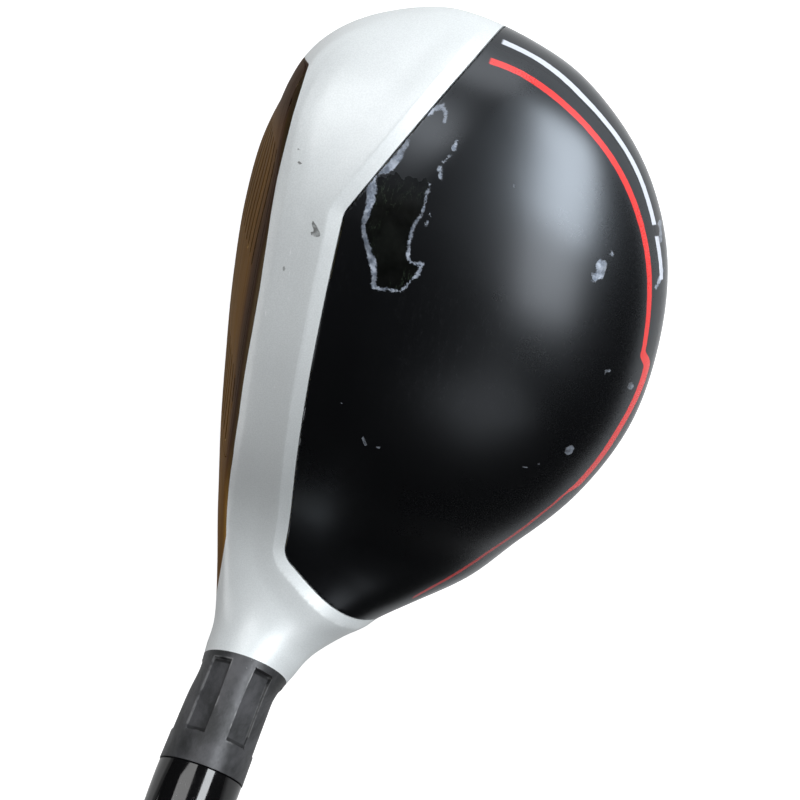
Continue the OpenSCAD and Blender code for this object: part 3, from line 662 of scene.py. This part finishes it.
def hosel_paint():
    m = Nodes("hosel_paint", Metallic=0.25)
    wear = m.noise(160, 5, 0.7, m.vector((1, 1, 0.35), ALONG_SHAFT))
    m.start(m.step(wear, 0.35, 0.7), (36, 37, 38), (74, 74, 77))
    streaks = m.noise(420, 4, 0.75, m.vector((1, 1, 0.12), ALONG_SHAFT))
    m.paint(m.step(streaks, 0.68, 0.74), 132, 132, 134, share=0.5)
    # painted shade at the ends of the flutes, where their end walls cast a shadow; worn along their edges
    along = m.plus(m.times(m.y, float(SHAFT[1])), m.times(m.z, float(SHAFT[2])))
    flute_end_shade = m.high(*(m.near(along, FLUTE_LOW + end, 0.5, 0.25) for end in (0.25, FLUTE_L - 0.25)))
    flute_end_shade = m.times(flute_end_shade, m.step(m.attribute("flute"), 0.05, -0.2))
    m.paint(m.times(flute_end_shade, m.patches(500, 2, 0.3, 0.5, 0.5, 0.95)), 22, 22, 24)
    worn = m.times(m.step(m.attribute("flute_edge"), 0.32, 0.02), m.patches(300, 3, 0.48, 0.6, rough=0.6))
    m.paint(worn, 150, 150, 150, share=0.35)
    fine = m.noise(2400, 3, 0.6)
    return m.finish(m.step(fine, 0.2, 0.8, 0.36, 0.5), (fine, 0.00002, 0.3))


def add_primer(m):
    """Puts flakes of primer with ragged edges over the base, and returns how much they cover."""
    near = m.ragged(m.ragged(m.attribute("flake"), 1.1, 1100, 4, 0.75), 0.4, 4200, 3)
    cover = m.times(m.step(near, 0.08, -0.14), m.patches(330, 3, 0.38, 0.58, 0.5, 0.95, rough=0.6))
    pale = m.mix(m.patches(900, 4, 0.35, 0.65, rough=0.7), rgb(104, 113, 128), rgb(176, 184, 198))
    m.base = m.mix(cover, m.base, pale)
    return cover


def crown_black():
    # painted reflection colour: the bluish specular tint stands in for the blue of the light the crown mirrors
    m = Nodes("crown_black", Specular_IOR_Level=0.9, Specular_Tint=(0.84, 0.91, 1, 1))
    scuff = m.hairs(120, 4, 0.75, (3, 0.8, 1), (0, 0, 0.5), 0.004, (30, 2, 0.52, 0.66))
    m.start(m.times(scuff, 0.1), (4, 4, 5), (120, 122, 128))
    speck = m.step(m.ragged(m.attribute("spot"), 0.35, 900, 4), 0.04, -0.04)
    m.paint(m.times(speck, m.patches(1100, 3, 0.35, 0.55, 0.3, 0.75)), 132, 138, 148)
    flake = add_primer(m)
    # the stripes run round the head at a level in z that changes with y, as does the red one's width
    z = m.ragged(m.z, 0.12, 900, 3)
    level, half = m.step(m.y, 75, 55, 25.93, 26.55), m.step(m.y, 50.6, 49, 0.34, 0.78)
    for start, end, rise in ((50.4, 47.6, -1.5), (47, 36, 1.4), (27, 24.5, 0.6), (22, 4, -2.1)):
        level = m.plus(level, m.step(m.y, start, end, 0, rise))
    for start, end, rise in ((46, 38, -0.2), (26.5, 25, -0.4)):
        half = m.plus(half, m.step(m.y, start, end, 0, rise))
    red = m.near(z, level, m.plus(half, 0.05), half)
    for past_y, past_x in (((20, 21), (24.3, 24.7)), ((61, 60), (14.5, 14.9))):
        red = m.times(red, m.high(m.step(m.y, *past_y), m.step(m.x, *past_x)))
    worn = m.times(m.patches(700, 4, 0.62, 0.7, rough=0.7), m.step(m.y, 10, 0))
    red = m.times(red, m.minus(1.0, worn))
    # painted shade: the red darker on the heel side, which lies away from the light
    m.paint(m.times(red, m.step(m.y, 22, 27, 0.6, 1)), 226, 42, 36)
    # the white one is only at the toe, with a gap in it
    level = m.plus(m.step(m.y, 84.5, 80, 22.7, 23.2), m.step(m.y, 76, 64, 0, 0.8))
    white = m.times(m.near(z, level, 0.48, 0.4), m.times(m.step(m.y, 60.1, 60.3), m.step(m.x, 15.2, 15.6)))
    m.paint(m.times(white, m.near(m.y, 66.5, 0.6, 0.8)), 202, 206, 216)
    grain = m.noise(3800, 3, 0.6)
    rough = m.plus(m.patches(34, 4, 0.3, 0.75, 0.27, 0.31, rough=0.6), m.times(m.minus(grain, 0.5), 0.03))
    rough = m.blend(flake, m.blend(m.step(m.z, 24.2, 23.4), rough, 0.16), 0.5)
    return m.finish(rough, (grain, 0.000006, 0.15), (m.minus(1.0, m.high(flake, speck)), 0.00006, 0.6))


def undercoat():
    """Bare black under the worn-off lacquer, with faint scratches."""
    m = Nodes("undercoat_black", Specular_IOR_Level=0.14)
    m.start(m.patches(300, 4, 0.35, 0.7), (5, 6, 5), (15, 17, 15))
    hairs = m.hairs(420, 3, 0.7, (2.2, 0.6, 1), (0, 0, 0.35), 0.012, (160, 2, 0.45, 0.6))
    m.paint(hairs, 60, 72, 58, share=0.6)
    # painted sheen: lighter towards the patch's top edge, standing in for the crown's satin highlight that runs
    # on there
    m.paint(m.step(m.y, 63, 66.8), 26, 28, 32, share=0.5)
    add_primer(m)
    return m.finish(m.patches(800, 3, 0.2, 0.8, 0.32, 0.48), (m.noise(1500, 3), 0.00002, 0.4))


def face_steel():
    """Steel brushed from heel to toe, with worn white paint in the score lines; its brown base and specular tint
    are a painted reflection of brown surroundings.
    """
    # painted reflection: the brown specular tint and the brown base stand in for brown surroundings mirrored in
    # the steel
    m = Nodes("face_steel", Metallic=0.85, Specular_Tint=(0.36, 0.27, 0.18, 1))
    lines = m.noise(1500, 4, 0.7, m.vector((1, 0.05, 1)))
    m.start(lines, (122, 92, 43), (154, 118, 60))
    m.paint(m.step(m.noise(260, 3, 0.6, m.vector((1, 0.04, 1))), 0.35, 0.7, 0, 0.5), 96, 77, 45)
    m.paint(m.step(m.noise(55, 3, 0.6, m.vector((1, 0.4, 1))), 0.35, 0.7, 0, 0.3), 82, 70, 56)
    # painted shade: darker towards the top line and the toe, where the steel reflects darker surroundings
    m.paint(m.high(m.step(m.z, 27, 34), m.step(m.y, 62, 72)), 68, 57, 42)
    white = m.times(m.step(m.attribute("score"), 0.51, 0.56), m.patches(420, 4, 0.3, 0.46, rough=0.7))
    m.paint(white, 196, 186, 166, share=0.8)
    return m.finish(m.step(lines, 0.2, 0.8, 0.34, 0.48), (lines, 0.00002, 0.5))


def gloss_black(name, rough, wear):
    m = Nodes(name, Coat_Weight=0.3, Coat_Roughness=0.05)
    scratch = m.hairs(240, 4, 0.75, (1, 1, 0.25), ALONG_SHAFT, 0.006, (70, 2, 0.48, 0.62))
    m.start(m.times(scratch, wear), (10, 10, 11), (120, 120, 122))
    return m.finish(m.patches(500, 4, 0.3, 0.8, rough * 0.8, rough * 2, rough=0.6))


def grip_rubber():
    m = Nodes("grip_rubber", Sheen_Weight=0.08)
    pores = m.noise(2600, 3, 0.6)
    m.start(pores, (24, 24, 25), (38, 38, 39))
    return m.finish(m.patches(300, 3, 0.3, 0.7, 0.62, 0.8), (pores, 0.00004, 0.6))


def plain(name, dark, light, rough, scale=900, metallic=0.0):
    m = Nodes(name, Metallic=metallic)
    grain = m.noise(scale, 4, 0.6)
    m.start(grain, dark, light)
    return m.finish(m.step(grain, 0.2, 0.8, rough * 0.85, min(rough * 1.2, 1)), (grain, 0.00002, 0.4))


SILVER, HOSEL, CROWN, UNDERCOAT, FACE = silver_paint(), hosel_paint(), crown_black(), undercoat(), face_steel()
FERRULE, SHAFT_PAINT = gloss_black("ferrule_black", 0.07, 0.6), gloss_black("shaft_paint", 0.14, 0.15)
RUBBER, SLOT = grip_rubber(), plain("slot_polymer", (30, 30, 32), (44, 44, 46), 0.5)
GLUE = (150, 142, 104), (176, 168, 128), 0.5
for node, material in {
    "crown_bond": plain("adhesive", *GLUE),
    "shaft_bond": plain("adhesive_shaft", *GLUE),
    "tack_spot": plain("tack", (196, 182, 140), (216, 204, 164), 0.35),
    "tip_pin": plain("brass_pin", (176, 144, 78), (200, 168, 96), 0.3, 600, 1.0),
    "grip_tape": plain("tape", (190, 170, 128), (206, 188, 146), 0.8),
}.items():
    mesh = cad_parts[node].data
    mesh.materials.clear()
    mesh.materials.append(material)

# ------------ head: casting, crown panel, face plate
# the face is finer than its score lines, and the crown is finest where the panel's front edge can run
v_grid = np.concatenate([np.linspace(a, b, n, endpoint=False) for a, b, n in (
    (0, 1, 84), (1, 1.16, 24), (1.16, 1.48, 90), (1.48, 2, 44), (2, 3, 38), (3, 4, 28))])
sheet = head_sheet([16, 16, 24, 34, 36, 20] + [16] * 3 + [14] * 3 + [18, 20, 36], v_grid)
OUT = 1.0 if normal(np.array([5.0]), np.array([1.5]))[0, 2] > 0 else -1.0

# pockets: width of their walls' slope, depths, the gap round the pieces in them, and the pieces' thickness
WALL, PANEL_POCKET, PLATE_POCKET, SLOT_POCKET = 0.06, 1.7, 0.9, 1.4
PANEL_GAP, PANEL_T, PLATE_T, SLOT_T = 0.1, 1.3, 0.85, 1.3
PANEL_EDGE_W, EDGE_W, FLUTE_EDGE_W = 0.22, 0.12, 0.1
for field, *levels in (
        (bare_field, 0.0), (front_distance, -2.2, -1.8, -0.02),
        (panel_field, 0.0, WALL, PANEL_GAP, PANEL_GAP + PANEL_EDGE_W),
        (flute_field, 0.0, -FLUTE_EDGE_W), (paint_field, 0.0),
        (plate_field, GAP, GAP - WALL, 0.0, -EDGE_W), (slot_field, GAP, GAP - WALL, 0.0, -EDGE_W),
        (score_field, 0.0, -EDGE_W), (finish_field, 0.0)):
    for level in levels:
        sheet.cut(field, level)
points, normals = sheet.points(), sheet.normals() * OUT
u_all, v_all = sheet.u, sheet.v

# the silver rises in a low lip before the panel's edge, and the panel lies a little low behind it
DROP, LIP_W, LIP_BACK, SETTLE, BEVEL = 0.3, 1.8, 4.0, 7, 0.1
FADE_LOW, FADE_RISE = 20.5, 7
edge, inside = front_distance(sheet), panel_field(sheet)
end_fade = smooth((points[:, 2] - FADE_LOW) / FADE_RISE)
lip = np.where(edge > -LIP_W, -DROP + (edge / -LIP_W) * 2 * DROP,
               DROP * (1 - smooth((-edge - LIP_W) / LIP_BACK)))
lip = np.where(edge > 0.1 - FAR, lip, 0) * end_fade
lip = np.where(edge > 0, -DROP * end_fade, lip)

# the silver eases over the top line, more on the crown side than on the face
EASE, EASE_CROWN, EASE_FACE = 0.35, 4.5, 1.8
rows_all = rows_at(u_all)
crown_run = (v_all - 1) * (3 * CROWN_REACH) * (rows_all[:, 7] - rows_all[:, 5])
face_run = (1 - v_all) * np.hypot(rows_all[:, 5] - rows_all[:, 3], rows_all[:, 6] - rows_all[:, 4])
run = np.where(v_all >= 1, crown_run / EASE_CROWN, face_run / EASE_FACE)
ease = EASE * (1 - smooth(run)) * smooth((u_all - 1.2) / 1.6) * smooth((9.6 - u_all) / 2)
ease = np.where(v_all < 2, ease, 0)

# the flutes are sunk to a flat floor along the shaft axis
_, deep, _, lane = flute_parts(points)
flute, plate, slot = flute_field(sheet), plate_field(sheet), slot_field(sheet)
outward = np.stack([np.cos(lane), np.sin(lane) * SIDE[1], np.sin(lane) * SIDE[2]], -1)
sunk = np.maximum(deep - (HOSEL_R - FLUTE_DEPTH), 0) * np.clip(-flute / FLUTE_EDGE_W, 0, 1)
lift = (lip - ease - smooth(inside / WALL) * PANEL_POCKET - smooth((GAP - plate) / WALL) * PLATE_POCKET
        - smooth((GAP - slot) / WALL) * SLOT_POCKET)
body = points + normals * lift[:, None] - outward * (sunk * (flute < 0))[:, None]

# a flat end on the hosel closes the skin
last_ring = np.where(np.isclose(u_all, LAST))[0]
last_ring = last_ring[np.argsort(v_all[last_ring])]
cap = np.stack([np.full(len(last_ring), len(body)), np.roll(last_ring, -1), last_ring], 1)
body = np.vstack([body, [SHAFT * HOSEL_TOP]])
tris = np.vstack([sheet.tris, cap])
a, b, c = (body[tris[:, k]] for k in range(3))
if np.einsum("ij,ij->i", a, np.cross(b, c)).sum() < 0:
    tris = tris[:, ::-1]
    sheet.tris = sheet.tris[:, ::-1]


def on_silver(lines):
    """Distance to marks on the silver, seen from above."""
    d = np.full(len(points), 9.0)
    near = (v_all > 0.9) & (v_all < 1.4)
    d[near] = line_distance(points[near][:, :2], lines)
    return np.append(d, 9.0)


u_mid = sheet.uv[sheet.tris][:, :, 0].mean(1)
s_mid = (points[sheet.tris] @ SHAFT).mean(1)
slots = np.where((u_mid > NEAR_HOSEL) & (s_mid > PAINT_END), 1, 0)
slots = np.where(finish_field(sheet)[sheet.tris].mean(1) > 0, 2, slots)
slots = np.concatenate([slots, np.ones(len(cap), int)])
wear = {"flute_edge": np.append(np.abs(flute), 9.0), "flute": np.append(np.clip(flute, -2, 2), 2.0),
        "mark": on_silver(MARKS), "scratch": on_silver(SCRATCHES)}
shell = new_object("head_shell", body, tris, [SILVER, HOSEL, FACE], slots, wear, 30)
place_piece(shell, "head_body")

# crown panel: the same skin, set a little low along its front edge
panel_tris = sheet.tris[(inside >= PANEL_GAP - 1e-6)[sheet.tris].all(1)]
bevel = BEVEL * (1 - np.clip((inside - PANEL_GAP) / PANEL_EDGE_W, 0, 1))
top = points + normals * (-DROP * end_fade * (1 - smooth(edge / SETTLE)) - bevel)[:, None]
verts, faces, used = solid_from(top, points - normals * PANEL_T, panel_tris)
slots = np.zeros(len(faces), int)
slots[:len(panel_tris)] = bare_field(sheet)[panel_tris].mean(1) < 0
wear = {key: np.tile(line_distance(points[:, :2], lines)[used], 2)
        for key, lines in (("flake", FLAKES), ("spot", SPOTS))}
panel = new_object("crown_skin", verts, faces, [CROWN, UNDERCOAT], slots, wear, 40)
place_piece(panel, "crown_panel")


# face plate and slot filler: patches of the same skin in their pockets
def patch(name, field, base, depth, edge_drop, material, attributes=None):
    """A solid under the skin where field <= 0: top base mm down, underside depth mm down, edge rounded."""
    rounded = base + edge_drop * np.clip(1 + field / EDGE_W, 0, 1)
    patch_tris = sheet.tris[(field <= 1e-6)[sheet.tris].all(1)]
    verts, faces, used = solid_from(points - normals * rounded[:, None], points - normals * depth, patch_tris)
    extra = {key: np.tile(values[used], 2) for key, values in (attributes or {}).items()}
    return new_object(name, verts, faces, [material], None, extra, 40)


score = score_field(sheet)
score_sunk = SCORE_DEPTH * np.clip(-score / EDGE_W, 0, 1)
place_piece(patch("face_insert", plate, score_sunk, PLATE_T, 0.05, FACE, {"score": np.clip(0.5 - score, 0, 1)}),
            "face_plate")
place_piece(patch("slot_insert", slot, 0.25, SLOT_T, 0.08, SLOT), "slot_filler")


# ------------ turned pieces along the shaft
def turned(name, profile, material, segments=128, offset=None):
    """Revolves (r, s) points about the shaft axis. offset(angle, r, s) can raise the surface."""
    profile = np.asarray(profile, float)
    angle = np.linspace(0, 2 * math.pi, segments, endpoint=False)
    grids = np.broadcast_arrays(profile[:, :1], profile[:, 1:], angle)
    r, s, w = (np.ascontiguousarray(grid) for grid in grids)
    if offset is not None:
        r = r + offset(w, r, s)
    pts = (s[..., None] * SHAFT + (r * np.cos(w))[..., None] * np.array([1, 0, 0])
           + (r * np.sin(w))[..., None] * SIDE)
    i, j = np.indices((len(profile), segments))
    ring, next_ring, k = i * segments, (i + 1) % len(profile) * segments, (j + 1) % segments
    quads = np.stack([ring + j, ring + k, next_ring + k, next_ring + j], -1)
    obj = new_object(name, pts.reshape(-1, 3), quads.reshape(-1, 4), [material])
    bm = bmesh.new()
    bm.from_mesh(obj.data)
    bmesh.ops.recalc_face_normals(bm, faces=bm.faces)
    bm.to_mesh(obj.data)
    bm.free()
    obj.data.set_sharp_from_angle(angle=math.radians(35))
    return obj


FERRULE_L, FERRULE_R, FERRULE_THIN, FERRULE_EDGE, INSIDE_R = 24.0, 6.9, 4.8, 0.25, 4.3
outer = [(FERRULE_THIN + (FERRULE_R - FERRULE_THIN) * (1 - k ** 1.6),
          HOSEL_TOP + FERRULE_EDGE + (FERRULE_L - FERRULE_EDGE) * k) for k in np.linspace(0, 1, 25)]
profile = [(INSIDE_R, HOSEL_TOP), (FERRULE_R - 0.2, HOSEL_TOP), *outer, (INSIDE_R, HOSEL_TOP + FERRULE_L)]
place_piece(turned("ferrule_collar", profile, FERRULE), "ferrule")

# shaft: bare where it is glued, painted above the ferrule
CLUB_L, CAP_T, GRIP_L, TAPE_T = 1067.0, 3.2, 268.0, 0.15
TIP_R, BUTT_R, WALL_T, PAINT_T = 4.25, 7.6, 1.6, 0.1
SHAFT_LOW, SHAFT_TOP = HOSEL_TOP - BORE_DEPTH + 1.2, CLUB_L - CAP_T
TAPER_LOW, TAPER_TOP = SHAFT_LOW + 110, SHAFT_TOP - 150


def shaft_r(s):
    taper = np.clip((s - TAPER_LOW) / (TAPER_TOP - TAPER_LOW), 0, 1)
    return TIP_R + PAINT_T + taper * (BUTT_R - TIP_R - PAINT_T)


paint_start = HOSEL_TOP + FERRULE_L
outer = [(shaft_r(s), s) for s in np.linspace(paint_start + 0.1, SHAFT_TOP, 60)]
profile = [(TIP_R - WALL_T, SHAFT_LOW), (TIP_R, SHAFT_LOW), (TIP_R, paint_start), *outer,
           (BUTT_R - WALL_T, SHAFT_TOP), (BUTT_R - WALL_T, TAPER_TOP), (TIP_R - WALL_T, TAPER_LOW)]
place_piece(turned("shaft_tube", profile, SHAFT_PAINT, 96), "shaft")

# grip: a soft cone with rings, a fine diamond pattern between them and a smooth band at each end
GRIP_LOW, GRIP_MOUTH_R, GRIP_BUTT_R = CLUB_L - GRIP_L, 9.3, 13.5
GROOVES, GROOVE_DEPTH, GROOVE_W = 5, 0.35, 1.2
TREADS, TREAD_RISE, TREAD_DEPTH, MOUTH_BAND, CAP_BAND = 20, 3.4, 0.16, 10, 14
grooves = GRIP_LOW + (0.08 + 0.84 * np.arange(1, GROOVES + 1) / (GROOVES + 1)) * (SHAFT_TOP - GRIP_LOW)


def grip_skin(s):
    t = (s - GRIP_LOW) / (SHAFT_TOP - GRIP_LOW)
    return GRIP_MOUTH_R + (GRIP_BUTT_R - GRIP_MOUTH_R) * (0.75 * t + 0.25 * t ** 4)


def from_groove(s):
    """Distance along the shaft axis from the middle of the nearest groove."""
    return np.min(np.abs(s[..., None] - grooves - GROOVE_W / 2), axis=-1)


def tread(angle, r, s):
    """Shallow crossing grooves on the outside of the grip."""
    turn, rise = TREADS * angle / math.pi, s / TREAD_RISE
    crossing = np.minimum(np.abs((turn + rise) % 2 - 1), np.abs((turn - rise) % 2 - 1))
    cut = TREAD_DEPTH * (1 - smooth(crossing / 0.3))
    band = smooth((s - GRIP_LOW - MOUTH_BAND) / 2) * smooth((SHAFT_TOP - CAP_BAND - s) / 2)
    return np.where(r > grip_skin(s) - 0.05, -cut * band * smooth(from_groove(s) - 2), 0)


steps = np.linspace(GRIP_LOW + 0.4, SHAFT_TOP - 0.05, 300)
groove_steps = np.array([-0.15, 0, 0.03, GROOVE_W - 0.03, GROOVE_W, GROOVE_W + 0.15])
steps = steps[from_groove(steps) > GROOVE_W / 2 + 0.3]
steps = np.sort(np.concatenate([steps, *(g + groove_steps for g in grooves)]))
sunk = np.array([GROOVE_DEPTH * any(g + 0.01 < k < g + GROOVE_W - 0.01 for g in grooves) for k in steps])
outer = list(zip(grip_skin(steps) - 0.02 - sunk, steps))
tape_r = BUTT_R + TAPE_T + 0.02
profile = [(shaft_r(GRIP_LOW) + TAPE_T + 0.02, GRIP_LOW + 0.02), (GRIP_MOUTH_R - 0.4, GRIP_LOW + 0.02), *outer,
           (tape_r, SHAFT_TOP - 0.05), (tape_r, TAPER_TOP)]
place_piece(turned("grip_rubber_sleeve", profile, RUBBER, 160, offset=tread), "grip_sleeve")
VENT_R, RIM_OUT, RIM_R, DISH_R = 1.2, 1.23, 2.25, 8.5
rim = [(GRIP_BUTT_R + RIM_OUT - RIM_R * (1 - math.cos(a)), SHAFT_TOP + CAP_T / 2 * (1 + math.sin(a)) - 0.01)
       for a in np.radians(np.linspace(-40, 90, 14))]
profile = [(VENT_R, SHAFT_TOP + 0.01), (GRIP_BUTT_R - 0.02, SHAFT_TOP + 0.01), *rim,
           (DISH_R, SHAFT_TOP + CAP_T - 0.3), (VENT_R, SHAFT_TOP + CAP_T - 0.42)]
place_piece(turned("grip_rubber_cap", profile, RUBBER, 96), "grip_cap")


# ------------ stage: floor, lamps, camera
def camera_white(name, seen, mirrored):
    """Pale to the light, so it keeps the shadow; its glow is seen to the camera, mirrored in reflections."""
    m = bpy.data.materials.new(name)
    m.use_nodes = True
    tree = m.node_tree
    tree.nodes.clear()
    strength = 0.0
    for ray, share in (("Is Camera Ray", seen), ("Is Glossy Ray", mirrored), ("Is Transmission Ray", seen)):
        term = {0: make(tree, "LightPath", {}, ray), 1: share, 2: strength}
        strength = make(tree, "Math", term, operation="MULTIPLY_ADD")
    shaders = make(tree, "BsdfDiffuse", {0: (0.6, 0.6, 0.6)}), make(tree, "Emission", {"Strength": strength})
    surface = make(tree, "AddShader", dict(enumerate(shaders)))
    put(tree, surface, tree.nodes.new("ShaderNodeOutputMaterial").inputs["Surface"])
    return m


floor_mesh = bpy.data.meshes.new("floor")
floor_mesh.from_pydata([(-3, -3, 0), (3, -3, 0), (3, 3, 0), (-3, 3, 0)], [], [(0, 1, 2, 3)])
floor_mesh.materials.append(camera_white("floor_white", 0.85, 0.2))
floor = in_scene("floor", floor_mesh)
floor.location.z = -0.0005

world = bpy.data.worlds.new("studio")
bpy.context.scene.world = world
world.use_nodes = True
# white to the camera; to everything else dim beyond the heel and brighter beyond the toe
tree = world.node_tree
along_y = make(tree, "SeparateXYZ", {0: make(tree, "TexCoord", {}, "Generated")}, "Y")
dim = make(tree, "MapRange", {0: along_y, 1: -0.6, 2: 0.8, 3: 0.01, 4: 0.03})
shade = make(tree, "MapRange", {0: make(tree, "LightPath", {}, "Is Camera Ray"), 3: dim, 4: 1.0})
put(tree, shade, tree.nodes["Background"].inputs["Strength"])
put(tree, (1, 1, 1), tree.nodes["Background"].inputs["Color"])


def lamp(name, place, aim, axis, size, power, colour=(1, 1, 1)):
    """A soft oblong lamp: place, aim and size in mm, its long side along axis, power in watts."""
    light = bpy.data.lights.new(name, "AREA")
    light.shape = "RECTANGLE"
    light.size, light.size_y = size[0] * MM, size[1] * MM
    light.energy, light.color = power, colour
    back = (Vector(place) - Vector(aim)).normalized()
    along = (Vector(axis) - back * back.dot(Vector(axis))).normalized()
    turn = Matrix((along, back.cross(along), back)).transposed()
    in_scene(name, light).matrix_world = Matrix.Translation(Vector(place) * MM) @ turn.to_4x4()


HEAD_MIDDLE, FILL_REACH = np.array([18.0, 40.0, 25.0]), 450.0


def around(height, turn):
    """A place so many degrees above the head's middle and round from +X, and the level line across it."""
    h, t = math.radians(height), math.radians(turn)
    away = np.array([math.cos(h) * math.cos(t), math.cos(h) * math.sin(t), math.sin(h)])
    return HEAD_MIDDLE + FILL_REACH * away, (-math.sin(t), math.cos(t), 0)


# a long window beyond the toe and the rear, a weaker one above it, and soft fill from four sides
lamp("window", (305, 370, 267), HEAD_MIDDLE, (0.144, -0.632, 0.762), (400, 190), 2.6, (0.93, 0.97, 1.0))
lamp("window_top", (315, 115, 420), HEAD_MIDDLE, (0.2, -0.9, 0.3), (240, 160), 0.55)
for name, height, turn, size, power in (
        ("front", 38, 120, (300, 220), 0.66), ("low", 14, 205, (420, 120), 0.42),
        ("toe", 8, 92, (260, 150), 0.26), ("rear", 50, 308, (160, 160), 0.06)):
    place, level = around(height, turn)
    lamp(name, place, HEAD_MIDDLE, level, size, power)

camera_data = bpy.data.cameras.new("camera")
camera = in_scene("camera", camera_data)
camera_data.sensor_width = 36
camera_data.lens = 41.38335
camera_data.clip_start = 0.005
turn = Matrix(((0.95638365, -0.28123708, 0.07896847),
               (0.22073448, 0.87284333, 0.43522502),
               (-0.19132851, -0.39881102, 0.89685181)))
camera.matrix_world = Matrix.Translation(Vector((25.283, 93.249, 152.407)) * MM) @ turn.to_4x4()
bpy.context.scene.camera = camera
bpy.context.scene.view_settings.view_transform = "Standard"
